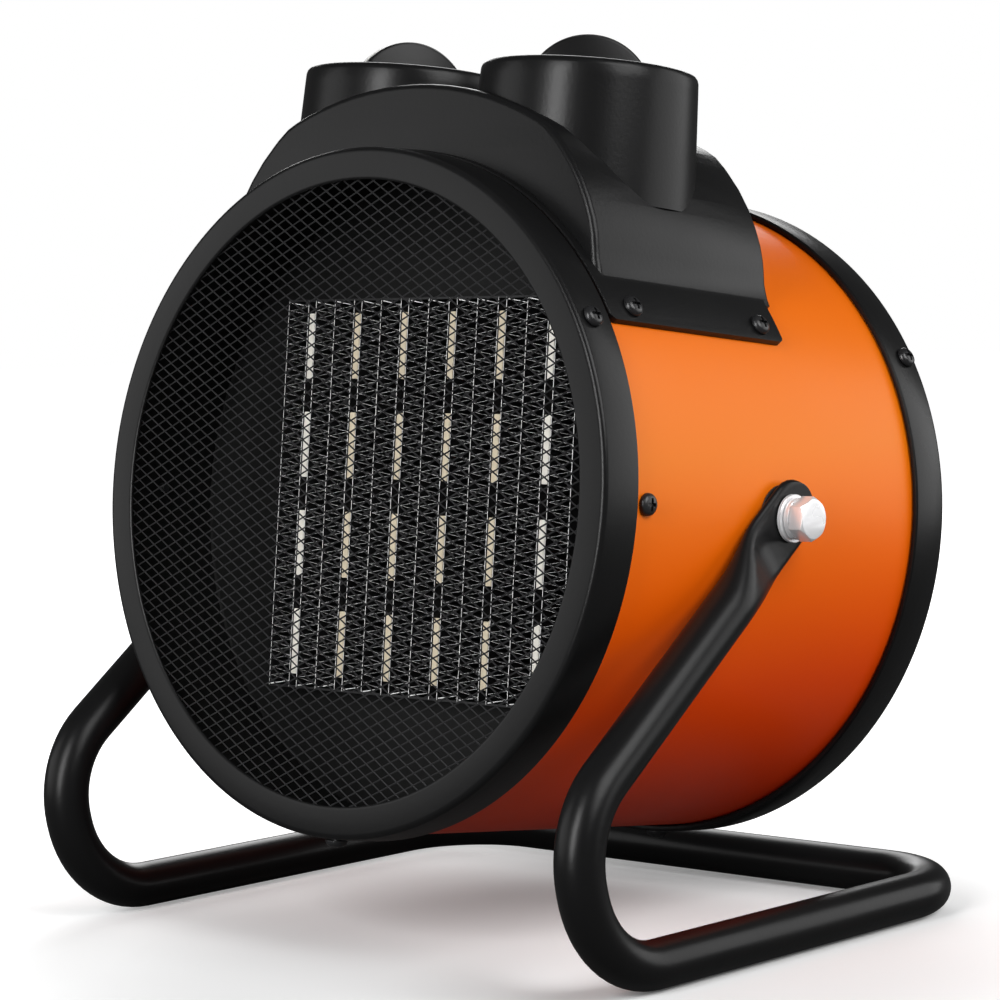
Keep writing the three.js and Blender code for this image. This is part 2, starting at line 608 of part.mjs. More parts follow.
function controlHousing() {
  const edge = 2;
  const body = slab(saddleOutline(0), HOUSING_FRONT_Y + edge, HOUSING_REAR_Y - HOUSING_FRONT_Y - 2 * edge, {
    bevelEnabled: true, bevelThickness: edge, bevelSize: edge, bevelOffset: -edge, bevelSegments: 1,
  });
  const flangeLong = FLANGE_REAR_Y - FLANGE_FRONT_Y;
  const bands = [
    bandSector(DRUM_R + GAP, FLANGE_R, FLANGE_LOW_DEG, FLANGE_HIGH_DEG, FLANGE_FRONT_Y, flangeLong),
    bandSector(DRUM_R + GAP, FLANGE_R, 180 - FLANGE_HIGH_DEG, 180 - FLANGE_LOW_DEG,
      FLANGE_FRONT_Y, flangeLong),
    bandSector(DRUM_R + GAP, FLANGE_R, FLANGE_HIGH_DEG - 1, 181 - FLANGE_HIGH_DEG,
      FLANGE_FRONT_Y, HOUSING_FRONT_Y + HOUSING_WALL - FLANGE_FRONT_Y),
  ];
  const collars = [-1, 1].map((side) => collarMatrix(side));
  const cones = collars.map((m) => placed(join([
    rod([0, 0, -COLLAR_DEEP], [0, 0, -1], COLLAR_R + COLLAR_DEEP * COLLAR_TAPER, 28,
      COLLAR_R + COLLAR_TAPER),
    rod([0, 0, -1.01], [0, 0, 0.3], COLLAR_R + COLLAR_TAPER, 28, COLLAR_R - 1),
  ]), m));
  const outside = join([body, ...bands, ...cones]);
  const floor = DIAL_DEEP + HOUSING_WALL;
  const cavity = slab(saddleOutline(HOUSING_WALL), HOUSING_FRONT_Y + HOUSING_WALL,
    HOUSING_REAR_Y - HOUSING_FRONT_Y - 2 * HOUSING_WALL);
  const bores = collars.map((m) => placed(rod(
    [0, 0, -COLLAR_DEEP + 3], [0, 0, -floor],
    COLLAR_R + (COLLAR_DEEP - 3) * COLLAR_TAPER - HOUSING_WALL, 28,
    COLLAR_R + floor * COLLAR_TAPER - HOUSING_WALL,
  ), m));
  const recesses = collars.map((m) => placed(join([
    rod([0, 0, -DIAL_DEEP], [0, 0, 5], DIAL_R, 28),
    rod([0, 0, -DIAL_DEEP - 10], [0, 0, 0], BUSH_R + GAP, 12),
  ]), m));
  const drum = turned([[0, 0], [DRUM_R + GAP, 0], [DRUM_R + GAP, DRUM_LENGTH], [0, DRUM_LENGTH]],
    ROUND, false).rotate([0, -HOUSING_ROLL_DEG, 0]);
  const glandHole = rod([0, HOUSING_REAR_Y - 8, GLAND_Z], [0, HOUSING_REAR_Y + 8, GLAND_Z],
    GLAND_R - 3 + GAP, 16);
  return cut(outside, [cavity, ...bores, ...recesses, drum, glandHole, ...flangeHoles]);
}
piece("control_housing", controlHousing(), BLACK_PLASTIC, housing);

const CONTROL_NAMES = ["mode", "thermostat"];
[-1, 1].forEach((side, index) => {
  const matrix = collarMatrix(side);
  const name = CONTROL_NAMES[index];
  const floor = -DIAL_DEEP;
  const dialTop = floor + GAP + 0.6;
  piece(`${name}_dial`, placed(cut(
    rod([0, 0, floor + GAP], [0, 0, dialTop], DIAL_R - GAP, 28),
    [rod([0, 0, -9], [0, 0, 9], BUSH_R + GAP, 12)],
  ), matrix), DIAL_PLASTIC, housing);
  const nutTop = dialTop + GAP + 2.2;
  piece(`${name}_nut`, placed(cut(
    rod([0, 0, dialTop + GAP], [0, 0, nutTop], 8, 6),
    [rod([0, 0, -9], [0, 0, 9], BUSH_R + GAP, 12)],
  ), matrix), ZINC, housing);

  const baseTop = 1.2;
  const ceiling = nutTop + 0.4;
  const spindleTop = 6;
  const fin = new THREE.Shape();
  fin.absarc(0, KNOB_TOP - KNOB_FIN_R, KNOB_FIN_R, 0.05 * Math.PI, 0.95 * Math.PI, false);
  const fullFin = slab(fin, -KNOB_FIN_THICK / 2, KNOB_FIN_THICK, { curveSegments: 12 });
  const upper = box(-KNOB_FIN_R, KNOB_FIN_R, -KNOB_FIN_THICK, KNOB_FIN_THICK, 0.4, KNOB_TOP + 1);
  const knob = cut(join([
    rod([0, 0, dialTop + 0.4], [0, 0, baseTop], KNOB_R, 24, KNOB_R - 0.8),
    fullFin.intersect(upper),
  ]), [
    rod([0, 0, dialTop - 1], [0, 0, ceiling], 9.4, 16),
    rod([0, 0, -9], [0, 0, spindleTop + GAP], SHAFT_R + GAP, 12),
  ]);
  const turn = new THREE.Matrix4().makeRotationZ(rad(KNOB_TURN_DEG[index]));
  piece(`${name}_knob`, placed(knob, matrix.clone().multiply(turn)), KNOB_PLASTIC, housing);
  piece(`${name}_spindle`, placed(
    rod([0, 0, floor - 12], [0, 0, spindleTop], SHAFT_R, 12),
    matrix,
  ), STEEL, housing);

  const top = floor - HOUSING_WALL - GAP;
  const half = SWITCH_SIDE / 2;
  const bush = rod([0, 0, top - 1], [0, 0, nutTop], BUSH_R, 12);
  const bore = rod([0, 0, floor - 13], [0, 0, 9], SHAFT_R + GAP, 12);
  const tags = [-6, 6].map((y) => box(-3, 3, y - 0.4, y + 0.4, top - SWITCH_HIGH - 5, top - SWITCH_HIGH + 1));
  const caseOf = index === 0
    ? box(-half, half, -half, half, top - SWITCH_HIGH, top)
    : rod([0, 0, top - SWITCH_HIGH], [0, 0, top], half + 2, 20);
  piece(index === 0 ? "mode_switch" : "thermostat", placed(
    cut(join([caseOf, bush, ...tags]), [bore]),
    matrix,
  ), SWITCH_PLASTIC, housing);
});

piece("terminal_block", join([
  box(-8, 8, 44, 80, DRUM_R + GAP + 0.6, DRUM_R + 12),
  box(-5, 5, 46, 52, DRUM_R + 11, DRUM_R + 15),
  box(-5, 5, 59, 65, DRUM_R + 11, DRUM_R + 15),
  box(-5, 5, 72, 78, DRUM_R + 11, DRUM_R + 15),
]), SWITCH_PLASTIC, housing);

piece("cable_gland", turned([
  [GLAND_BORE_R, HOUSING_REAR_Y - 7], [GLAND_R - 3, HOUSING_REAR_Y - 7],
  [GLAND_R - 3, HOUSING_REAR_Y + GAP], [GLAND_R, HOUSING_REAR_Y + GAP],
  [GLAND_R, HOUSING_REAR_Y + 5], [GLAND_R - 2, HOUSING_REAR_Y + 12],
  [GLAND_BORE_R, HOUSING_REAR_Y + 12],
], 16).translate([0, 0, GLAND_Z]), RUBBER, housing);

// ---------------------------------------------------------------- screws
function panScrew(degrees, radius, y) {
  const head = rod(onDrum(degrees, radius, y), onDrum(degrees, radius + SCREW_HEAD_HIGH, y),
    SCREW_HEAD_R, 8, SCREW_HEAD_R - 1.2);
  const shank = rod(onDrum(degrees, radius - SCREW_LONG, y), onDrum(degrees, radius + 0.5, y),
    SCREW_SHANK_R, 6);
  return head.add(shank);
}
RING_SCREW_DEG.forEach((degrees, i) => {
  piece(`bezel_screw_${i + 1}`, panScrew(degrees, BEZEL_R, BEZEL_SCREW_Y), DARK_ZINC);
  piece(`rear_screw_${i + 1}`, panScrew(degrees, REAR_R + GAP, REAR_SCREW_Y), DARK_ZINC);
});
[0, 180].forEach((degrees, i) => {
  piece(`baffle_screw_${i + 1}`, panScrew(degrees, DRUM_R + GAP, BAFFLE_SCREW_Y), DARK_ZINC);
});
flangeAngles.forEach((degrees, i) => {
  FLANGE_SCREW_Y.forEach((y, k) => {
    piece(`housing_screw_${2 * i + k + 1}`, panScrew(degrees, FLANGE_R + GAP, y), DARK_ZINC,
      housing);
  });
});

// ---------------------------------------------------------------- pivots
const plateOut = FLAT_X + FLAT_THICK / 2;
[["left", -1], ["right", 1]].forEach(([name, side]) => {
  const at = (x) => [side * x, PIVOT_Y, PIVOT_Z];
  const bore = rod(at(DRUM_R - 24), at(DRUM_R + 36), BOLT_R + GAP, 12);
  const ring = (x0, x1, r, facets) => cut(rod(at(x0), at(x1), r, facets), [bore]);
  const washer = plateOut + GAP;
  const spring = washer + WASHER_THICK + GAP;
  const head = spring + SPRING_WASHER_THICK + GAP;
  piece(`pivot_spacer_${name}`, ring(DRUM_R + GAP, FLAT_X - FLAT_THICK / 2 - GAP, SPACER_R, 18), NYLON);
  piece(`pivot_washer_${name}`, ring(washer, washer + WASHER_THICK, WASHER_R, 18), ZINC);
  piece(`pivot_spring_washer_${name}`, ring(spring, spring + SPRING_WASHER_THICK, 6.9, 16), ZINC);
  piece(`pivot_bolt_${name}`, join([
    rod(at(head), at(head + HEAD_HIGH), HEAD_FLATS / Math.sqrt(3), 6),
    rod(at(drumInnerR - 9), at(head + 1), BOLT_R, 12),
  ]), ZINC);
  const plateX = drumInnerR - 1.3 - NUT_THICK;
  const edge = Math.min(side * plateX, side * (plateX + NUT_THICK));
  const half = NUT_SIDE / 2;
  const plate = box(edge, edge + NUT_THICK, PIVOT_Y - half, PIVOT_Y + half, PIVOT_Z - half, PIVOT_Z + half);
  const nut = rod(at(plateX - 4.5), at(plateX + 0.5), 7.5, 6);
  piece(`pivot_nut_plate_${name}`, cut(join([plate, nut]), [bore]), GALVANISED);
});

// ---------------------------------------------------------------- stand
// The path's points are used one by one, so straight runs need no extra sections.
class StationPath extends THREE.Curve {
  constructor(stations) {
    super();
    this.stations = stations;
  }

  stationAt(t) {
    return this.stations[Math.round(t * (this.stations.length - 1))];
  }

  getPointAt(t, target = new THREE.Vector3()) {
    return target.copy(this.stationAt(t).point);
  }

  getTangentAt(t, target = new THREE.Vector3()) {
    return target.copy(this.stationAt(t).tangent);
  }
}

// Rounds each inner corner of a polyline with an arc of the given radius.
function bentStations(corners, radii, perBend) {
  const stations = [];
  const push = (point, tangent) => stations.push({ point, tangent });
  const direction = (a, b) => b.clone().sub(a).normalize();
  push(corners[0], direction(corners[0], corners[1]));
  for (let i = 1; i < corners.length - 1; i += 1) {
    const into = direction(corners[i - 1], corners[i]);
    const out = direction(corners[i], corners[i + 1]);
    const turn = into.angleTo(out);
    const radius = radii[i - 1];
    const start = corners[i].clone().addScaledVector(into, -radius * Math.tan(turn / 2));
    const axis = into.clone().cross(out).normalize();
    const centre = start.clone().addScaledVector(axis.clone().cross(into), radius);
    for (let k = 0; k <= perBend; k += 1) {
      const angle = turn * k / perBend;
      push(
        start.clone().sub(centre).applyAxisAngle(axis, angle).add(centre),
        into.clone().applyAxisAngle(axis, angle),
      );
    }
  }
  const last = corners.length - 1;
  push(corners[last], direction(corners[last - 1], corners[last]));
  return stations;
}

const tilt = rad(NOSE_UP_DEG);
const pivotWorld = new THREE.Vector3(0, PIVOT_Y, PIVOT_Z)
  .applyAxisAngle(new THREE.Vector3(1, 0, 0), -tilt);
const tubeVertexR = TUBE_R / Math.cos(Math.PI / TUBE_SIDES);

function tubeSection() {
  const section = new THREE.Shape();
  for (let i = 0; i < TUBE_SIDES; i += 1) {
    const angle = (i + 0.5) * 2 * Math.PI / TUBE_SIDES;
    const x = tubeVertexR * Math.cos(angle);
    const y = tubeVertexR * Math.sin(angle);
    if (i === 0) section.moveTo(x, y);
    else section.lineTo(x, y);
  }
  section.closePath();
  return section;
}

// Round tube pressed flat towards the pivot, with a rounded end and a bolt hole.
function flattenedEnd(side) {
  const rise = new THREE.Vector3(0, STAND_PATH[0][0] - pivotWorld.y, STAND_PATH[0][1] - pivotWorld.z);
  const along = rise.normalize();
  const start = FLAT_UNTIL - 2;
  const long = ROUND_FROM + 1 - start;
  const neck = new THREE.CylinderGeometry(tubeVertexR, tubeVertexR, long, TUBE_SIDES, 3);
  neck.rotateY(Math.PI / TUBE_SIDES);
  const position = neck.getAttribute("position");
  for (let i = 0; i < position.count; i += 1) {
    const down = position.getY(i) + long / 2;
    const share = THREE.MathUtils.smoothstep(down, 2, long - 1);
    const wide = THREE.MathUtils.lerp(FLAT_WIDE / 2 - 0.1, tubeVertexR, share);
    const thick = THREE.MathUtils.lerp(FLAT_THICK / 2 - 0.05, tubeVertexR, share);
    const square = 1 / Math.sqrt(1 - (Math.max(0, wide - thick) / wide) ** 2);
    const across = position.getX(i) / tubeVertexR;
    const deep = Math.abs(position.getZ(i)) / tubeVertexR;
    const sign = Math.sign(position.getZ(i));
    const inward = side * FLAT_TUCK * (1 - share) ** 2;
    position.setXYZ(i, sign * thick * Math.min(1, deep * square) - inward, down + start, across * wide);
  }
  const neckTurn = new THREE.Quaternion().setFromUnitVectors(new THREE.Vector3(0, 1, 0), along);
  neck.applyQuaternion(neckTurn);
  neck.translate(side * STAND_X, pivotWorld.y, pivotWorld.z);

  const outline = new THREE.Shape();
  outline.absarc(0, FLAT_REACH, FLAT_WIDE / 2, 0, Math.PI, false);
  outline.lineTo(-FLAT_WIDE / 2, -FLAT_UNTIL);
  outline.lineTo(FLAT_WIDE / 2, -FLAT_UNTIL);
  const hole = new THREE.Path();
  hole.absarc(0, 0, BOLT_R + GAP, 0, 2 * Math.PI, true);
  outline.holes = [hole];
  const tongue = new THREE.ExtrudeGeometry(outline, {
    depth: FLAT_THICK, bevelEnabled: false, curveSegments: 8,
  });
  tongue.translate(0, 0, -FLAT_THICK / 2);
  tongue.rotateY(Math.PI / 2);
  const tongueTurn = new THREE.Quaternion().setFromUnitVectors(new THREE.Vector3(0, -1, 0), along);
  tongue.applyQuaternion(tongueTurn);
  tongue.translate(side * FLAT_X, pivotWorld.y, pivotWorld.z);
  return join([solid(neck), solid(tongue)]);
}

function standTube() {
  const side = STAND_PATH.map(([y, z]) => new THREE.Vector3(STAND_X, y, z));
  const top = side[0].clone().sub(new THREE.Vector3(STAND_X, pivotWorld.y, pivotWorld.z)).normalize();
  const start = new THREE.Vector3(STAND_X, pivotWorld.y, pivotWorld.z).addScaledVector(top, ROUND_FROM);
  const right = [start, ...side];
  const left = right.map((p) => new THREE.Vector3(-p.x, p.y, p.z)).reverse();
  const stations = bentStations([...right, ...left], [...BEND_R, ...[...BEND_R].reverse()], 4);
  const tube = new THREE.ExtrudeGeometry(tubeSection(), {
    steps: stations.length - 1,
    extrudePath: new StationPath(stations),
  });
  return join([solid(tube), flattenedEnd(1), flattenedEnd(-1)]);
}
piece("stand_tube", standTube(), BLACK_PAINT, stand);

// ---------------------------------------------------------------- assembly in the part's frame
heater.rotation.x = -tilt;
const group = new THREE.Group();
group.name = "forced_air_heater";
group.add(heater, stand);
group.updateMatrixWorld(true);
const extent = new THREE.Box3().setFromObject(group, true);
const middle = extent.getCenter(new THREE.Vector3());
group.position.set(-middle.x, -middle.y, -extent.min.z);
group.updateMatrixWorld(true);

export default group;
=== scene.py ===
import math

import bmesh
import bpy
from mathutils import Matrix, Vector


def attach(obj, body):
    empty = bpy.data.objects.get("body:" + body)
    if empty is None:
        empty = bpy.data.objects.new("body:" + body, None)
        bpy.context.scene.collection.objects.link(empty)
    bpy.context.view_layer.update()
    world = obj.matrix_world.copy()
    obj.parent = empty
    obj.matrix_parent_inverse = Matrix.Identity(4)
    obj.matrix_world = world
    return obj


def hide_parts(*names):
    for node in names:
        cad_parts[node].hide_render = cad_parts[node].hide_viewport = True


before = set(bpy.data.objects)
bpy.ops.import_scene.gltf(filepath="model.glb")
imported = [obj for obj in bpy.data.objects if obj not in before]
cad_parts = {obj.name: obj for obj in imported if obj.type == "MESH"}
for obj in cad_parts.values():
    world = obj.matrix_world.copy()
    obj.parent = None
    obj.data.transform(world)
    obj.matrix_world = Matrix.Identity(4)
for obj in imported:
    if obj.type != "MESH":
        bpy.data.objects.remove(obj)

for leftover in ("Cube", "Light", "Camera"):
    if leftover in bpy.data.objects:
        bpy.data.objects.remove(bpy.data.objects[leftover])
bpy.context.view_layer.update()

# Camera: a long lens a little above the drum's axis, to the right of the net, as the photograph was taken.
CAMERA_PLACE = (0.76834, -0.85033, 0.22176)
CAMERA_TURN = (86.2447, 1.3394, 42.1383)
CAMERA_LENS = 117.727
bpy.ops.object.camera_add(location=CAMERA_PLACE)
camera = bpy.context.object
camera.name = "photo_camera"
camera.rotation_euler = [math.radians(degrees) for degrees in CAMERA_TURN]
camera.data.sensor_width = 36
camera.data.lens = CAMERA_LENS
bpy.context.scene.camera = camera

# Floor and light: a plain pale floor that keeps the shadow, soft lamps above right, at the right, in front,
# at the left and behind, and an even dim world, which the camera sees as white. The camera also sees a glow
# in the floor that rises away from the object, so that the floor runs out into the white.
WORLD_LEVEL = 0.06
FLOOR_SIDE = 14
FLOOR_DROP = 0.0004
PAPER_SHADE = 0.86
PAPER_SHADE_TO_LIGHT = 0.12
GLOW_CENTRE = (0.07, -0.05, 0)
GLOW_NEAR, GLOW_FAR = 0.10, 0.36
GLOW_LEAST, GLOW_MOST = 0.03, 1.0
bpy.context.scene.view_settings.view_transform = "Standard"
world = bpy.data.worlds.new("studio")
bpy.context.scene.world = world
world.use_nodes = True
sky = world.node_tree.nodes
links = world.node_tree.links
sky.clear()
sky_out = sky.new("ShaderNodeOutputWorld")
seen = sky.new("ShaderNodeLightPath")
plain = sky.new("ShaderNodeBackground")
plain.inputs["Color"].default_value = (1, 1, 1, 1)
plain.inputs["Strength"].default_value = WORLD_LEVEL
white = sky.new("ShaderNodeBackground")
white.inputs["Color"].default_value = (1, 1, 1, 1)
white.inputs["Strength"].default_value = 1
choice = sky.new("ShaderNodeMixShader")
links.new(seen.outputs["Is Camera Ray"], choice.inputs[0])
links.new(plain.outputs[0], choice.inputs[1])
links.new(white.outputs[0], choice.inputs[2])
links.new(choice.outputs[0], sky_out.inputs[0])

bpy.ops.object.select_all(action="DESELECT")
bpy.ops.mesh.primitive_plane_add(size=FLOOR_SIDE, location=(0, 0, -FLOOR_DROP))
floor = bpy.context.object
floor.name = "floor"
bpy.ops.object.transform_apply(location=True, rotation=True, scale=True)
floor_paper = bpy.data.materials.new("floor_paper")
floor_paper.use_nodes = True
nodes = floor_paper.node_tree.nodes
links = floor_paper.node_tree.links
nodes.clear()
floor_out = nodes.new("ShaderNodeOutputMaterial")
matt = nodes.new("ShaderNodeBsdfDiffuse")
matt.inputs["Color"].default_value = (*[PAPER_SHADE] * 3, 1)
dim = nodes.new("ShaderNodeBsdfDiffuse")
dim.inputs["Color"].default_value = (*[PAPER_SHADE_TO_LIGHT] * 3, 1)
glow = nodes.new("ShaderNodeEmission")
glow.inputs["Color"].default_value = (1, 1, 1, 1)
spot = nodes.new("ShaderNodeTexCoord")
away = nodes.new("ShaderNodeVectorMath")
away.operation = "DISTANCE"
away.inputs[1].default_value = GLOW_CENTRE
fade = nodes.new("ShaderNodeMapRange")
fade.interpolation_type = "SMOOTHSTEP"
fade.inputs["From Min"].default_value = GLOW_NEAR
fade.inputs["From Max"].default_value = GLOW_FAR
fade.inputs["To Min"].default_value = GLOW_LEAST
fade.inputs["To Max"].default_value = GLOW_MOST
lamp_ray = nodes.new("ShaderNodeLightPath")
lift = nodes.new("ShaderNodeMixShader")
both = nodes.new("ShaderNodeAddShader")
links.new(spot.outputs["Object"], away.inputs[0])
links.new(away.outputs["Value"], fade.inputs["Value"])
links.new(fade.outputs["Result"], glow.inputs["Strength"])
links.new(matt.outputs[0], both.inputs[0])
links.new(glow.outputs[0], both.inputs[1])
links.new(lamp_ray.outputs["Is Camera Ray"], lift.inputs[0])
links.new(dim.outputs[0], lift.inputs[1])
links.new(both.outputs[0], lift.inputs[2])
links.new(lift.outputs[0], floor_out.inputs[0])
floor.data.materials.append(floor_paper)

LAMPS = [
    # name, place, aim, width, height, watts
    ("lamp_key", (1.40, -0.10, 1.15), (0, 0, 0.16), 1.0, 1.0, 21),
    ("lamp_side", (1.35, 1.50, 0.45), (0, 0, 0.16), 2.0, 1.6, 22),
    ("lamp_front", (0.30, -1.75, 0.70), (0, 0, 0.15), 0.50, 1.3, 30),
    ("lamp_left", (-1.35, -1.30, 0.45), (0, 0, 0.15), 1.4, 1.4, 10),
    ("lamp_behind", (-1.20, 1.30, 1.00), (0, 0, 0.15), 1.0, 1.0, 12),
]
for name, place, aim, wide, tall, watts in LAMPS:
    bpy.ops.object.light_add(type="AREA", location=place)
    lamp = bpy.context.object
    lamp.name = name
    lamp.data.shape = "RECTANGLE"
    lamp.data.size = wide
    lamp.data.size_y = tall
    lamp.data.energy = watts
    toward = Vector(aim) - lamp.location
    lamp.rotation_euler = toward.to_track_quat("-Z", "Z").to_euler()


# ---- Drum: one sheet rolled into a cylinder, powder coated orange with a faint orange-peel surface.
# The bezel and the rear ring lap over its ends.
MM = 0.001
DRUM_R = 114.2
DRUM_TILT = math.radians(6.44)
DRUM_FRONT = (0, -0.0826568, 0.1545)
DRUM_PLACE = Matrix.Translation(DRUM_FRONT) @ Matrix.Rotation(-DRUM_TILT, 4, "X")
AS_DRAWN = Matrix.Identity(4)


def finish_of(name, colour, roughness, metallic=0.0, fine=900, bump=0.05, mottle=0.08, smudge=0.06,
              specular=0.5, specular_tint=(1, 1, 1)):
    """A coated or bare surface: fine grain as bump, slow mottling of the colour, smudges in the gloss."""
    material = bpy.data.materials.new(name)
    material.use_nodes = True
    nodes = material.node_tree.nodes
    links = material.node_tree.links
    shader = nodes["Principled BSDF"]
    shader.inputs["Metallic"].default_value = metallic
    shader.inputs["Specular Tint"].default_value = (*specular_tint, 1)
    shader.inputs["Specular IOR Level"].default_value = specular
    place = nodes.new("ShaderNodeTexCoord")
    grain = nodes.new("ShaderNodeTexNoise")
    grain.inputs["Scale"].default_value = fine
    grain.inputs["Detail"].default_value = 3
    lump = nodes.new("ShaderNodeBump")
    lump.inputs["Strength"].default_value = bump
    lump.inputs["Distance"].default_value = 0.0004
    slow = nodes.new("ShaderNodeTexNoise")
    slow.inputs["Scale"].default_value = 14
    slow.inputs["Detail"].default_value = 5
    tint = nodes.new("ShaderNodeMix")
    tint.data_type = "RGBA"
    tint.inputs["A"].default_value = (*[c * (1 - mottle) for c in colour], 1)
    tint.inputs["B"].default_value = (*[min(1, c * (1 + mottle)) for c in colour], 1)
    gloss = nodes.new("ShaderNodeMapRange")
    gloss.inputs["From Min"].default_value = 0.3
    gloss.inputs["From Max"].default_value = 0.7
    gloss.inputs["To Min"].default_value = roughness - smudge
    gloss.inputs["To Max"].default_value = roughness + smudge
    for noise in (grain, slow):
        links.new(place.outputs["Object"], noise.inputs["Vector"])
    links.new(grain.outputs["Fac"], lump.inputs["Height"])
    links.new(lump.outputs["Normal"], shader.inputs["Normal"])
    links.new(slow.outputs["Fac"], tint.inputs["Factor"])
    links.new(tint.outputs["Result"], shader.inputs["Base Color"])
    links.new(slow.outputs["Fac"], gloss.inputs["Value"])
    links.new(gloss.outputs["Result"], shader.inputs["Roughness"])
    return material


def turned(name, profile, sides=160, closed=True):
    """A circle drawn out step by step along [radius, y] in millimetres, as if turned about the Y axis."""
    rings = [point for point in profile if point[0] > 0]
    radius, y = rings[0]
    bpy.ops.object.select_all(action="DESELECT")
    bpy.ops.mesh.primitive_circle_add(vertices=sides, radius=radius * MM, location=(0, y * MM, 0),
                                      rotation=(math.pi / 2, 0, 0))
    ring = bpy.context.object
    ring.name = name
    bpy.ops.object.mode_set(mode="EDIT")
    bpy.ops.mesh.select_mode(type="EDGE")
    bpy.ops.mesh.select_all(action="SELECT")
    for next_radius, next_y in rings[1:] + (rings[:1] if closed else []):
        grow = next_radius / radius
        bpy.ops.mesh.extrude_region_move(TRANSFORM_OT_translate={"value": (0, (next_y - y) * MM, 0)})
        bpy.ops.transform.resize(value=(grow, 1, grow), center_override=(0, next_y * MM, 0))
        radius, y = next_radius, next_y
    if profile[-1][0] == 0:
        bpy.ops.mesh.edge_face_add()
    if profile[0][0] == 0:
        bpy.ops.mesh.select_all(action="DESELECT")
        bpy.ops.mesh.select_non_manifold()
        bpy.ops.mesh.edge_face_add()
    bpy.ops.mesh.select_all(action="SELECT")
    bpy.ops.mesh.remove_doubles(threshold=0.000002)
    bpy.ops.mesh.normals_make_consistent(inside=False)
    bpy.ops.object.mode_set(mode="OBJECT")
    bpy.ops.object.transform_apply(location=True, rotation=True, scale=True)
    return ring


def alone(piece):
    """Leaves this piece as the only one selected."""
    bpy.ops.object.select_all(action="DESELECT")
    piece.select_set(True)
    bpy.context.view_layer.objects.active = piece


def modified(piece, kind, **settings):
    """Adds a modifier of that kind and applies it."""
    alone(piece)
    bpy.ops.object.modifier_add(type=kind)
    modifier = piece.modifiers[-1]
    for key, value in settings.items():
        setattr(modifier, key, value)
    bpy.ops.object.modifier_apply(modifier=modifier.name)


def rounded(piece, width, segments=3, angle=35):
    """Rounds the sharp edges over by width in millimetres."""
    modified(piece, "BEVEL", width=width * MM, segments=segments, limit_method="ANGLE",
             angle_limit=math.radians(angle))


def pared(piece, tool, operation="DIFFERENCE"):
    """Cuts the piece with the tool, or joins them, and throws the tool away."""
    modified(piece, "BOOLEAN", object=tool, operation=operation, solver="EXACT")
    bpy.data.objects.remove(tool)


def set_down(piece, place, material, body, slot, *nodes, smooth=35):
    """Puts a finished piece in its place, paints it and fixes it to its body."""
    alone(piece)
    piece.matrix_world = place
    bpy.ops.object.transform_apply(location=True, rotation=True, scale=True)
    bpy.ops.object.shade_smooth_by_angle(angle=math.radians(smooth))
    piece.data.materials.clear()
    piece.data.materials.append(material)
    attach(piece, body)
    if nodes:
        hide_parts(*nodes)


orange_paint = finish_of("orange_paint", (0.80, 0.136, 0.002), 0.38, fine=420, bump=0.05, mottle=0.03,
                         smudge=0.03, specular=0.28, specular_tint=(1, 0.72, 0.24))
# The paint's colour is graded by height as painted shade and light: redder towards the shaded underside,
# yellower up the side where the light falls. Each colour is at its height above the floor, in metres.
HEIGHT_TOP = 0.3
PAINTED_SHADE_BY_HEIGHT = [
    (0.04, (0.95, 0.045, 0.001)), (0.085, (0.93, 0.070, 0.001)), (0.125, (0.90, 0.130, 0.002)),
    (0.165, (0.80, 0.172, 0.003)), (0.20, (0.77, 0.150, 0.003)), (0.25, (0.74, 0.112, 0.002)),
]
nodes = orange_paint.node_tree.nodes
links = orange_paint.node_tree.links
paint_place = nodes.new("ShaderNodeTexCoord")
height = nodes.new("ShaderNodeSeparateXYZ")
rise = nodes.new("ShaderNodeMapRange")
rise.inputs["From Max"].default_value = HEIGHT_TOP
shade = nodes.new("ShaderNodeValToRGB")
for at, colour in PAINTED_SHADE_BY_HEIGHT[2:]:
    shade.color_ramp.elements.new(at / HEIGHT_TOP)
for stop, (at, colour) in zip(shade.color_ramp.elements, PAINTED_SHADE_BY_HEIGHT):
    stop.position = at / HEIGHT_TOP
    stop.color = (*colour, 1)
links.new(paint_place.outputs["Object"], height.inputs[0])
links.new(height.outputs["Z"], rise.inputs["Value"])
links.new(rise.outputs["Result"], shade.inputs["Fac"])
# The colour graded by height, painted shade and light, goes into the paint's base colour.
links.new(shade.outputs["Color"], nodes["Principled BSDF"].inputs["Base Color"])
drum = turned("drum", [
    [DRUM_R - 1, 2.8], [DRUM_R - 0.4, 2.6], [DRUM_R, 3.1], [DRUM_R, 60], [DRUM_R, 120],
    [DRUM_R, 179.0], [DRUM_R - 0.4, 179.2], [DRUM_R - 1, 179.0], [DRUM_R - 1, 120], [DRUM_R - 1, 60],
], sides=200)
set_down(drum, DRUM_PLACE, orange_paint, "heater", "orange_paint", "drum_shell")


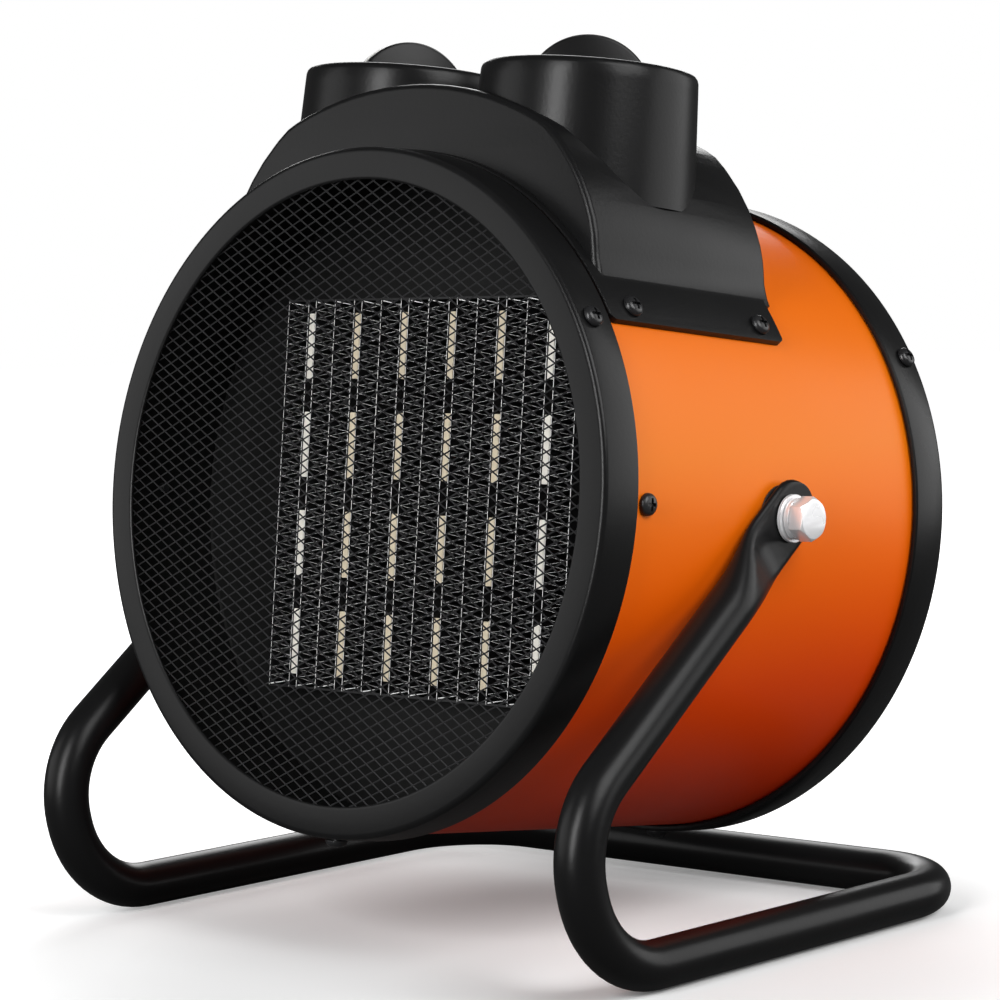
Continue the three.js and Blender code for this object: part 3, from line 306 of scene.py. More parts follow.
# ---- Front bezel and rear ring: pressed steel rings, powder coated satin black. Each has a flat face
# with rolled edges and a skirt that laps over the drum, held by three screws.
black_paint = finish_of("black_paint", (0.0060, 0.0060, 0.0062), 0.31, fine=520, bump=0.08, mottle=0.06,
                        smudge=0.04, specular=0.18)
bezel = turned("front_bezel", [
    [104.3, 0.9], [104.4, 0.35], [104.8, 0.05], [105.4, 0], [113.2, 0], [114.0, 0.12], [114.6, 0.5],
    [115.1, 1.1], [115.25, 1.8], [115.6, 6], [116.0, 14.8], [115.9, 15.3], [115.4, 15.4], [114.6, 15.3],
    [114.5, 14.8], [114.5, 1.5], [114.0, 1.2], [104.6, 1.2],
], sides=200)
set_down(bezel, DRUM_PLACE, black_paint, "heater", "black_paint", "front_bezel")
rear_ring = turned("rear_ring", [
    [103.1, 181.0], [103.0, 181.6], [103.3, 182.1], [104, 182.2], [114.6, 182.2], [115.8, 181.9],
    [116.5, 181.2], [116.8, 180.2], [116.8, 167.2], [116.7, 166.2], [116.2, 165.7], [115.6, 165.6],
    [114.9, 165.7], [114.55, 166.2], [114.5, 180.6], [113.9, 181.0],
], sides=200)
set_down(rear_ring, DRUM_PLACE, black_paint, "heater", "black_paint", "rear_ring")


# ---- Front net: expanded steel sheet with diamonds 7.3 by 4 mm, painted dark grey. It lies flat behind
# the bezel's face and its cut edge is hidden there.
net_paint = finish_of("net_paint", (0.020, 0.020, 0.021), 0.42, metallic=0.1, fine=1500, bump=0.05,
                      mottle=0.15)
NET_CELLS = 66
NET_LONG = 7.3
NET_SHORT = 4.0
NET_R = 110.5
NET_Y = 1.85
NET_WIRE = 0.56
NET_FLATTER = 0.75
NET_TURN = math.radians(-3.3)
bpy.ops.object.select_all(action="DESELECT")
bpy.ops.mesh.primitive_grid_add(x_subdivisions=NET_CELLS, y_subdivisions=NET_CELLS,
                                size=NET_CELLS * NET_LONG / math.sqrt(2) * MM, rotation=(0, 0, math.pi / 4))
net = bpy.context.object
net.name = "front_net"
bpy.ops.object.transform_apply(location=True, rotation=True, scale=True)
net.scale = (1, NET_SHORT / NET_LONG, 1)
bpy.ops.object.transform_apply(location=True, rotation=True, scale=True)
bpy.ops.object.mode_set(mode="EDIT")
bpy.ops.mesh.select_mode(type="FACE")
bpy.ops.mesh.select_all(action="DESELECT")
cells = bmesh.from_edit_mesh(net.data)
for face in cells.faces:
    face.select = face.calc_center_median().length > NET_R * MM
bmesh.update_edit_mesh(net.data)
bpy.ops.mesh.delete(type="FACE")
bpy.ops.object.mode_set(mode="OBJECT")
modified(net, "WIREFRAME", thickness=NET_WIRE * MM, use_even_offset=True, use_replace=True)
net.scale = (1, 1, NET_FLATTER)
bpy.ops.object.transform_apply(location=True, rotation=True, scale=True)
behind_bezel = (DRUM_PLACE @ Matrix.Translation((0, NET_Y * MM, 0)) @ Matrix.Rotation(math.pi / 2, 4, "X")
                @ Matrix.Rotation(NET_TURN, 4, "Z"))
set_down(net, behind_bezel, net_paint, "heater", "black_net", "front_net", smooth=50)


# ---- Heating block: banks of folded aluminium strip between upright sheets, with columns of ceramic
# stones between the banks. It is clamped in the square window of the baffle.
HEAT_SIDE = 137
HEAT_Y = 38
HEAT_DEEP = 15
STONE_PITCH = 22.6
STONE_WIDE = 2.6
STONE_GAP = 0.3
STONE_STEP = 34.7
STONE_HIGH = 23
STONE_DEEP = 14.5
CARRIER_HALF_WIDE = 1
CARRIER_HALF_HIGH = 66.5
FOLDS = 46
STRIP_HIGH = 135.2
STRIP_DEEP = 14.2
STRIP_THICK = 0.40
STRIP_UNEVEN = 0.12
SHEET_ROOM = 0.5
SHEET_GAP = 0.1
SHEET_THICK = 0.25
SHEET_HALF_HIGH = 68.2
RAIL_FROM = 67.8
BRIGHT_UNTIL = 67.5
NARROW_BANK = 12
# The aluminium strip is painted near black as painted shade between its folds, and its front edges near white
# as a painted glint.
fin_painted_shade = finish_of("fin_painted_shade", (0.03, 0.03, 0.031), 0.5, metallic=0.5, fine=1200, bump=0.04, mottle=0.2)
fin_painted_glint = finish_of("fin_painted_glint", (0.93, 0.93, 0.93), 0.45, fine=1200, bump=0.1, mottle=0.08)
stone_cream = finish_of("stone_cream", (0.80, 0.70, 0.52), 0.7, fine=1600, bump=0.12, mottle=0.12)
stone_white = finish_of("stone_white", (0.94, 0.91, 0.83), 0.7, fine=1600, bump=0.12, mottle=0.05)
sealing = finish_of("sealing", (0.10, 0.085, 0.07), 0.7, fine=1400, bump=0.15, mottle=0.2)


def sheet_box(name, x, y, z, bevel=0.15):
    """A block between two limits on each axis, in millimetres, with its edges eased."""
    bpy.ops.object.select_all(action="DESELECT")
    middle = [(low + high) / 2 * MM for low, high in (x, y, z)]
    bpy.ops.mesh.primitive_cube_add(size=1, location=middle,
                                    scale=[(high - low) * MM for low, high in (x, y, z)])
    block = bpy.context.object
    block.name = name
    bpy.ops.object.transform_apply(location=True, rotation=True, scale=True)
    if bevel:
        rounded(block, bevel, segments=2)
    return block


def joined(name, parts):
    """One object made of several."""
    alone(parts[0])
    for part in parts:
        part.select_set(True)
    bpy.ops.object.join()
    parts[0].name = name
    return parts[0]


def folded_bank(name, x0, x1, seed):
    """One strip folded to and fro from x0 to x1, its folds a little uneven."""
    bpy.ops.object.select_all(action="DESELECT")
    bpy.ops.mesh.primitive_grid_add(x_subdivisions=1, y_subdivisions=2 * FOLDS, size=1,
                                    location=(x0 * MM, (HEAT_Y + HEAT_DEEP / 2) * MM, 0),
                                    rotation=(math.pi / 2, 0, math.pi / 2))
    bank = bpy.context.object
    bank.name = name
    bank.scale = (STRIP_DEEP * MM, STRIP_HIGH * MM, 1)
    bpy.ops.object.transform_apply(location=True, rotation=True, scale=True)
    bpy.ops.object.mode_set(mode="EDIT")
    bpy.ops.mesh.select_mode(type="VERT")
    bpy.ops.mesh.select_all(action="DESELECT")
    strip = bmesh.from_edit_mesh(bank.data)
    half_fold = STRIP_HIGH * MM / (2 * FOLDS)
    for vert in strip.verts:
        vert.select = round((vert.co.z + STRIP_HIGH / 2 * MM) / half_fold) % 2 == 1
    strip.select_flush(True)
    bmesh.update_edit_mesh(bank.data)
    bpy.ops.transform.translate(value=((x1 - x0) * MM, 0, 0))
    bpy.ops.mesh.select_all(action="SELECT")
    bpy.ops.transform.vertex_random(offset=STRIP_UNEVEN * MM, seed=seed)
    bpy.ops.object.mode_set(mode="OBJECT")
    modified(bank, "SOLIDIFY", thickness=STRIP_THICK * MM, offset=0)
    return bank


columns = [(i - 2.5) * STONE_PITCH for i in range(6)]
half_side = HEAT_SIDE / 2
edges = [-half_side]
for x in columns:
    edges += [x - STONE_WIDE / 2 - STONE_GAP, x + STONE_WIDE / 2 + STONE_GAP]
edges.append(half_side)
banks = []
block_deep = (HEAT_Y, HEAT_Y + HEAT_DEEP)
for x0, x1 in zip(edges[::2], edges[1::2]):
    walls = [x0, x1 - SHEET_ROOM]
    if x1 - x0 > NARROW_BANK:
        walls.insert(1, (x0 + x1 - SHEET_ROOM) / 2)
    for wall in walls:
        upright_wide = (wall + SHEET_GAP, wall + SHEET_GAP + SHEET_THICK)
        banks.append(sheet_box("upright", upright_wide, block_deep, (-SHEET_HALF_HIGH, SHEET_HALF_HIGH), 0))
    for a, b in zip(walls, walls[1:]):
        banks.append(folded_bank("bank", a + SHEET_ROOM + SHEET_GAP, b - SHEET_GAP, len(banks)))
for side in (-1, 1):
    rail_high = sorted((side * half_side, side * RAIL_FROM))
    banks.append(sheet_box("rail", (-half_side, half_side), block_deep, rail_high, 0))
fins = joined("heating_fins", banks)
set_down(fins, AS_DRAWN, fin_painted_shade, "heater", "aluminium", "ptc_fin_pack", smooth=20)
# The front faces of the strips, sheets and rails take the painted glint.
fins.data.materials.append(fin_painted_glint)
alone(fins)
fins.active_material_index = 1
bpy.ops.object.mode_set(mode="EDIT")
bpy.ops.mesh.select_mode(type="FACE")
bpy.ops.mesh.select_all(action="DESELECT")
strips = bmesh.from_edit_mesh(fins.data)
for face in strips.faces:
    faces_front = face.normal.y < -0.8
    face.select = faces_front and abs(face.calc_center_median().z) < BRIGHT_UNTIL * MM
bmesh.update_edit_mesh(fins.data)
bpy.ops.object.material_slot_assign()
bpy.ops.object.mode_set(mode="OBJECT")
fins.matrix_world = DRUM_PLACE
bpy.ops.object.transform_apply(location=True, rotation=True, scale=True)

for i, x in enumerate(columns):
    stones = []
    stone_wide = (x - STONE_WIDE / 2, x + STONE_WIDE / 2)
    for k in range(4):
        middle = (k - 1.5) * STONE_STEP
        stone_high = (middle - STONE_HIGH / 2, middle + STONE_HIGH / 2)
        stones.append(sheet_box("stone", stone_wide, (HEAT_Y, HEAT_Y + STONE_DEEP), stone_high, 0.3))
    column = joined(f"stones_{i + 1}", stones)
    stone = stone_white if i in (0, 5) else stone_cream
    set_down(column, DRUM_PLACE, stone, "heater", "ceramic", f"ptc_strip_{i + 1}")
    carrier = sheet_box(f"stone_carrier_{i + 1}", (x - CARRIER_HALF_WIDE, x + CARRIER_HALF_WIDE),
                        (HEAT_Y + 6, HEAT_Y + 14.8), (-CARRIER_HALF_HIGH, CARRIER_HALF_HIGH), 0.2)
    set_down(carrier, DRUM_PLACE, sealing, "heater", "ceramic")


# ---- Baffle: a deep-drawn steel plate, black, that fills the drum round the heating block and turns
# forward along the sheet to the two side screws.
baffle = turned("baffle", [
    [0, 46], [111.4, 46], [112.0, 45.4], [112.1, 4.5], [112.5, 4], [112.9, 4.5], [112.9, 46.2],
    [112.0, 47], [0, 47],
], sides=160, closed=False)
WINDOW_HALF = HEAT_SIDE / 2 + 0.3
window = sheet_box("window", (-WINDOW_HALF, WINDOW_HALF), (40, 52), (-WINDOW_HALF, WINDOW_HALF), 0)
pared(baffle, window)
baffle_black = finish_of("baffle_black", (0.005, 0.005, 0.005), 0.6, fine=520, bump=0.08, specular=0.2)
set_down(baffle, DRUM_PLACE, baffle_black, "heater", "black_paint", "baffle_plate")


# ---- Rear guard: black pressed plate over the intake with rings of slots, so that air comes in and
# fingers stay out.
GUARD_R = 113.9
GUARD_Y = 180.25
SLOT_RINGS = 8
SLOT_OUTER_R = 102.5
SLOT_STEP = 5
SPOKE_HALF = 3
SPOKE_EVERY = 60
ring_edges = [SLOT_OUTER_R - i * SLOT_STEP for i in range(2 * SLOT_RINGS)]
guard = turned("rear_guard", [[r, GUARD_Y] for r in (GUARD_R, *ring_edges, 0)], sides=144, closed=False)
bpy.ops.object.mode_set(mode="EDIT")
bpy.ops.mesh.select_mode(type="FACE")
bpy.ops.mesh.select_all(action="DESELECT")
plate = bmesh.from_edit_mesh(guard.data)
for face in plate.faces:
    middle = face.calc_center_median()
    out = math.hypot(middle.x, middle.z) / MM
    band = next((i for i in range(len(ring_edges) - 1) if ring_edges[i] > out > ring_edges[i + 1]), None)
    past_spoke = math.degrees(math.atan2(middle.z, middle.x)) % SPOKE_EVERY
    spoke_half = math.degrees(SPOKE_HALF / max(out, 1))
    between = spoke_half < past_spoke < SPOKE_EVERY - spoke_half
    face.select = band is not None and band % 2 == 0 and between
bmesh.update_edit_mesh(guard.data)
bpy.ops.mesh.delete(type="FACE")
bpy.ops.object.mode_set(mode="OBJECT")
modified(guard, "SOLIDIFY", thickness=1.2 * MM, offset=0)
rounded(guard, 0.3, segments=2)
set_down(guard, DRUM_PLACE, black_paint, "heater", "black_paint", "rear_guard")


# ---- Control housing: one black injection-moulded saddle over the drum, with two upright collars for the
# knobs and a screwed flange down each side. Its front and rear edges are rounded over.
HOUSING_ROLL = math.radians(2)
HOUSING_PLACE = DRUM_PLACE @ Matrix.Rotation(HOUSING_ROLL, 4, "Y")
HOUSING_FRONT = 20.4
HOUSING_REAR = 110
COLLAR_X = 42
COLLAR_Y = 61.2
COLLAR_Z = 148.4
UPRIGHT = Matrix.Rotation(math.pi / 2, 4, "X")
moulding = finish_of("moulding", (0.0060, 0.0060, 0.0062), 0.31, fine=700, bump=0.10, mottle=0.06,
                     smudge=0.04, specular=0.18)


def outline_block(name, outline, y0, y1, edge):
    """A closed outline of [x, z] points, filled and drawn out from y0 to y1 with both edges rounded over."""
    bpy.ops.object.select_all(action="DESELECT")
    bpy.ops.curve.primitive_bezier_circle_add(radius=1)
    curve = bpy.context.object
    curve.name = name
    shape = curve.data
    shape.dimensions = "2D"
    shape.fill_mode = "BOTH"
    shape.splines.clear()
    spline = shape.splines.new("POLY")
    spline.points.add(len(outline) - 1)
    for point, (x, z) in zip(spline.points, outline):
        point.co = (x * MM, z * MM, 0, 1)
    spline.use_cyclic_u = True
    shape.extrude = ((y1 - y0) / 2 - edge) * MM
    shape.bevel_depth = edge * MM
    shape.bevel_resolution = 3
    shape.offset = -edge * MM
    alone(curve)
    bpy.ops.object.convert(target="MESH")
    block = bpy.context.object
    block.matrix_world = Matrix.Translation((0, (y0 + y1) / 2 * MM, 0)) @ UPRIGHT
    bpy.ops.object.transform_apply(location=True, rotation=True, scale=True)
    bpy.ops.object.mode_set(mode="EDIT")
    bpy.ops.mesh.select_all(action="SELECT")
    bpy.ops.mesh.remove_doubles(threshold=0.00001)
    bpy.ops.mesh.normals_make_consistent(inside=False)
    bpy.ops.object.mode_set(mode="OBJECT")
    return block


def polar(degrees, radius):
    """A point [x, z] at that angle up from the right and that distance from the drum's axis."""
    return [radius * math.cos(math.radians(degrees)), radius * math.sin(math.radians(degrees))]


# The crown is an arc. From 64 degrees down it draws in to the flange, by [degrees, height over the drum].
CROWN_HIGH = 24.9
SHOULDER = [[64, 24.6], [61.6, 23.2], [60.5, 22.4], [57.5, 20.3], [54.2, 17.5], [51.4, 14.8], [48.6, 11.8],
            [46.4, 9], [44.6, 6.3], [43.3, 4.4], [42, 3.2], [40.8, 2.3], [39.5, 1.8]]
half_outline = [polar(a, DRUM_R + CROWN_HIGH) for a in range(90, 65, -3)]
half_outline += [polar(a, DRUM_R + high) for a, high in SHOULDER]
half_outline.append(polar(38.5, DRUM_R - 14))
saddle_outline = half_outline + [[-x, z] for x, z in reversed(half_outline[1:])]
saddle = outline_block("control_housing", saddle_outline, HOUSING_FRONT, HOUSING_REAR, 2.2)

for side in (-1, 1):
    collar = turned("collar", [
        [0, -47], [38.9, -47], [37.0, -6], [36.8, -2.4], [36.45, -1.3], [35.8, -0.5], [34.9, -0.1],
        [34.2, 0], [33.8, -0.1], [33.5, -0.5], [33.4, -3.5], [0, -3.5],
    ], sides=128, closed=False)
    alone(collar)
    collar.matrix_world = Matrix.Translation((side * COLLAR_X * MM, COLLAR_Y * MM, COLLAR_Z * MM)) @ UPRIGHT
    bpy.ops.object.transform_apply(location=True, rotation=True, scale=True)
    pared(saddle, collar, "UNION")

FLANGE_LOW = 31.1
FLANGE_HIGH = 46
FLANGE_CORNER = 2.5
FLANGE_FRONT = 16.5
FLANGE_REAR = 106
FLANGE_TOP = DRUM_R + 2.2
FLANGE_UNDER = DRUM_R - 4
FLANGE_STEPS = 12
CORNER_BOX_WIDE = (-40, 19)
CORNER_BOX_HIGH = (-30, 30)
CORNER_BOX_LEAN = 41.4


def flange_band(angles):
    """The outline of a band of the flange's thickness that follows the drum over these angles."""
    return [polar(a, FLANGE_TOP) for a in angles] + [polar(a, FLANGE_UNDER) for a in reversed(angles)]


# A box with two rounded edges, leaned over to lie across the flange, gives the flange its rounded corners.
flange_angles = [FLANGE_LOW + i * (FLANGE_HIGH - FLANGE_LOW) / FLANGE_STEPS for i in range(FLANGE_STEPS + 1)]
for side in (0, 1):
    arc = flange_band(flange_angles)
    if side:
        arc = [[-x, z] for x, z in arc]
    flange = outline_block("flange", arc, FLANGE_FRONT, FLANGE_REAR, 0.5)
    corners = sheet_box("corners", CORNER_BOX_WIDE, (FLANGE_FRONT, FLANGE_REAR), CORNER_BOX_HIGH, 0)
    alone(corners)
    bpy.ops.object.mode_set(mode="EDIT")
    bpy.ops.mesh.select_mode(type="EDGE")
    bpy.ops.mesh.select_all(action="DESELECT")
    block = bmesh.from_edit_mesh(corners.data)
    for edge in block.edges:
        lower, upper = edge.verts
        edge.select = lower.co.x > 0 and upper.co.x > 0 and abs(lower.co.z - upper.co.z) > 10 * MM
    bmesh.update_edit_mesh(corners.data)
    bpy.ops.mesh.bevel(offset=FLANGE_CORNER * MM, segments=6)
    bpy.ops.object.mode_set(mode="OBJECT")
    lean = math.radians(90 - CORNER_BOX_LEAN)
    turn = Matrix.Rotation(lean, 4, "Y") @ Matrix.Translation((0, 0, DRUM_R * MM))
    mirror = Matrix.Scale(-1, 4, (1, 0, 0)) if side else AS_DRAWN
    corners.matrix_world = mirror @ turn
    bpy.ops.object.transform_apply(location=True, rotation=True, scale=True)
    if side:
        bpy.ops.object.mode_set(mode="EDIT")
        bpy.ops.mesh.select_all(action="SELECT")
        bpy.ops.mesh.normals_make_consistent(inside=False)
        bpy.ops.object.mode_set(mode="OBJECT")
    pared(flange, corners, "INTERSECT")
    pared(saddle, flange, "UNION")

# A lip as thick as the flanges runs along the housing's front edge from one flange to the other.
LIP_OVERLAP = 2
LIP_STEPS = 40
lip_span = 180 - 2 * (FLANGE_HIGH - LIP_OVERLAP)
lip_angles = [FLANGE_HIGH - LIP_OVERLAP + i * lip_span / LIP_STEPS for i in range(LIP_STEPS + 1)]
lip = outline_block("lip", flange_band(lip_angles), FLANGE_FRONT, HOUSING_FRONT + 2.5, 0.5)
pared(saddle, lip, "UNION")

# The drum's own round is cut out of the underside.
underside_r = DRUM_R + 0.3
underside = turned("underside", [
    [0, 0], [underside_r, 0], [underside_r, 182], [0, 182],
], sides=200, closed=False)
pared(saddle, underside)
set_down(saddle, HOUSING_PLACE, moulding, "heater", "black_plastic", "control_housing", smooth=28)


# ---- Dials: a thin matte disc in the floor of each collar, with its marks printed in pale grey. The marks
# are plain: positions 0 1 2 for the mode switch and numbers 1 to 6 for the thermostat, each with a tick.
disc_plastic = finish_of("disc_plastic", (0.035, 0.035, 0.038), 0.55, fine=1300, bump=0.08)
print_grey = finish_of("print_grey", (0.62, 0.62, 0.60), 0.6, fine=1500, bump=0.02)
COLLAR_PLACES = []
for side in (-1, 1):
    collar_top = Matrix.Translation((side * COLLAR_X * MM, COLLAR_Y * MM, COLLAR_Z * MM))
    COLLAR_PLACES.append(HOUSING_PLACE @ collar_top @ UPRIGHT)
DIAL_TOP = -2.6
MARK_R = 29.6
MARK_SIZE = 5
TICK_R = 26.2
TICK_WIDE = 0.5
TICK_LONG = 2.2
PRINT_THICK = 0.04
CONTROLS = ["mode", "thermostat"]
MARKS = [
    [("0", -115), ("1", -55), ("2", 5)],
    [("1", -135), ("2", -81), ("3", -27), ("4", 27), ("5", 81), ("6", 135)],
]
for control, place, marks in zip(CONTROLS, COLLAR_PLACES, MARKS):
    disc = turned(f"{control}_dial", [
        [5.4, -3.2], [33.0, -3.2], [33.1, -3.1], [33.1, -2.8], [32.9, DIAL_TOP], [5.4, DIAL_TOP],
    ], sides=96)
    set_down(disc, place, disc_plastic, "heater", "dial_plastic", f"{control}_dial")
    printed = []
    for text, degrees in marks:
        bpy.ops.object.select_all(action="DESELECT")
        bpy.ops.object.text_add()
        figure = bpy.context.object
        figure.data.body = text
        figure.data.size = MARK_SIZE * MM
        figure.data.align_x = "CENTER"
        figure.data.align_y = "CENTER"
        figure.data.extrude = PRINT_THICK * MM
        bpy.ops.object.convert(target="MESH")
        out = Matrix.Rotation(math.radians(-degrees), 4, "Z") @ Matrix.Translation((0, MARK_R * MM, 0))
        figure.matrix_world = Matrix.Translation((0, 0, (DIAL_TOP + PRINT_THICK) * MM)) @ out
        bpy.ops.object.transform_apply(location=True, rotation=True, scale=True)
        printed.append(figure)
        bpy.ops.object.select_all(action="DESELECT")
        bpy.ops.mesh.primitive_cube_add(size=1, location=(0, TICK_R * MM, (DIAL_TOP + PRINT_THICK) * MM),
                                        scale=(TICK_WIDE * MM, TICK_LONG * MM, 2 * PRINT_THICK * MM))
        tick = bpy.context.object
        bpy.ops.object.transform_apply(location=True, rotation=True, scale=True)
        bpy.ops.transform.rotate(value=math.radians(degrees), orient_axis="Z", center_override=(0, 0, 0))
        bpy.ops.object.transform_apply(location=True, rotation=True, scale=True)
        printed.append(tick)
    figures = joined(f"{control}_marks", printed)
    set_down(figures, place @ UPRIGHT.inverted(), print_grey, "heater", "dial_plastic")


# ---- Knobs: moulded black with a half-disc grip across a round base, and a pale line set into the grip's
# pointing end. They turn on the spindles of the switch and the thermostat.
knob_plastic = finish_of("knob_plastic", (0.0055, 0.0055, 0.0057), 0.36, bump=0.08, mottle=0.05,
                         specular=0.18)
pointer_white = finish_of("pointer_white", (0.75, 0.74, 0.70), 0.5, fine=1500, bump=0.02)
GRIP_R = 22
GRIP_THICK = 7
KNOB_TOP = 11.7
KNOB_TURN = [65, 45]
POINTER_LONG = (-19.9, -12)
POINTER_DEEP = (0.8, 10)
POINTER_HALF = 0.45
POINTER_PROUD = 0.12
for control, place, degrees in zip(CONTROLS, COLLAR_PLACES, KNOB_TURN):
    skirt = turned(f"{control}_knob", [
        [0, -0.3], [9.2, -0.3], [9.4, -2.0], [23.4, -2.0], [23.8, -1.7], [23.8, -0.2], [23.3, 0.8],
        [22.3, 1.2], [0, 1.2],
    ], sides=96, closed=False)
    cheek_y = GRIP_THICK / 2
    grip = turned("grip", [
        [0, -cheek_y], [GRIP_R - 1.3, -cheek_y], [GRIP_R - 0.5, -cheek_y + 0.35], [GRIP_R, -cheek_y + 1.2],
        [GRIP_R, cheek_y - 1.2], [GRIP_R - 0.5, cheek_y - 0.35], [GRIP_R - 1.3, cheek_y], [0, cheek_y],
    ], sides=96, closed=False)
    alone(grip)
    grip.location = (0, 0, (KNOB_TOP - GRIP_R) * MM)
    bpy.ops.object.transform_apply(location=True, rotation=True, scale=True)
    bpy.ops.object.mode_set(mode="EDIT")
    bpy.ops.mesh.select_all(action="SELECT")
    bpy.ops.mesh.bisect(plane_co=(0, 0, 0.5 * MM), plane_no=(0, 0, 1), use_fill=True, clear_inner=True)
    bpy.ops.object.mode_set(mode="OBJECT")
    grip.matrix_world = Matrix.Rotation(-math.pi / 2, 4, "X")
    bpy.ops.object.transform_apply(location=True, rotation=True, scale=True)
    pared(skirt, grip, "UNION")
    turn = place @ Matrix.Rotation(math.radians(degrees), 4, "Y")
    set_down(skirt, turn, knob_plastic, f"{control}_control", "knob_plastic", f"{control}_knob", smooth=30)
    line = sheet_box(f"{control}_pointer", POINTER_LONG, POINTER_DEEP, (-POINTER_HALF, POINTER_HALF), 0)
    cheek_r = GRIP_R + POINTER_PROUD
    cheek = turned("cheek", [[0, -2], [cheek_r, -2], [cheek_r, 2], [0, 2]], sides=96, closed=False)
    cheek.matrix_world = Matrix.Translation((0, (KNOB_TOP - GRIP_R) * MM, 0)) @ UPRIGHT
    alone(cheek)
    bpy.ops.object.transform_apply(location=True, rotation=True, scale=True)
    pared(line, cheek, "INTERSECT")
    set_down(line, turn, pointer_white, f"{control}_control", "knob_plastic")


# ---- Screws: blackened steel pan heads with a cross recess. Three hold the bezel, three the rear ring,
# two the baffle and four the housing's flanges.
black_screw = finish_of("black_screw", (0.016, 0.016, 0.017), 0.34, metallic=0.2, fine=1800, mottle=0.2)
RECESS_LONG = 2.1
RECESS_WIDE = 0.55
SCREW_ROWS = [
    # name, angles round the drum, distance from its axis, places along it, placement of what they hold
    ("bezel_screw", (30, 150, 270), 115.9, (7,), DRUM_PLACE),
    ("rear_screw", (30, 150, 270), 117.1, (175.4,), DRUM_PLACE),
    ("baffle_screw", (0, 180), 114.5, (21.5,), DRUM_PLACE),
    ("housing_screw", (34.7, 145.3), 116.7, (28.8, 95.2), HOUSING_PLACE),
]
pattern = turned("screw", [
    [0, -5], [1.4, -5], [1.7, -4.6], [1.7, 0], [3.7, 0], [3.7, 0.35], [3.55, 1.05], [3.1, 1.65],
    [2.4, 2.05], [1.4, 2.25], [0, 2.3],
], sides=32, closed=False)
for wide, long in ((RECESS_WIDE, RECESS_LONG), (RECESS_LONG, RECESS_WIDE)):
    recess = sheet_box("recess", (-wide, wide), (1.1, 3), (-long, long), 0)
    pared(pattern, recess)


def copied(piece, name):
    """A copy of the piece with a mesh of its own."""
    twin = piece.copy()
    twin.data = piece.data.copy()
    twin.name = name
    bpy.context.scene.collection.objects.link(twin)
    return twin


for row, angles, seat, depths, place in SCREW_ROWS:
    spots = [(degrees, y) for degrees in angles for y in depths]
    for number, (degrees, y) in enumerate(spots, start=1):
        screw = copied(pattern, f"{row}_{number}")
        outward = Matrix.Rotation(math.radians(90 - degrees), 4, "Y") @ Matrix.Translation((0, 0, seat * MM))
        radial = place @ Matrix.Translation((0, y * MM, 0)) @ outward @ UPRIGHT
        set_down(screw, radial, black_screw, "heater", "dark_zinc", f"{row}_{number}")
bpy.data.objects.remove(pattern)


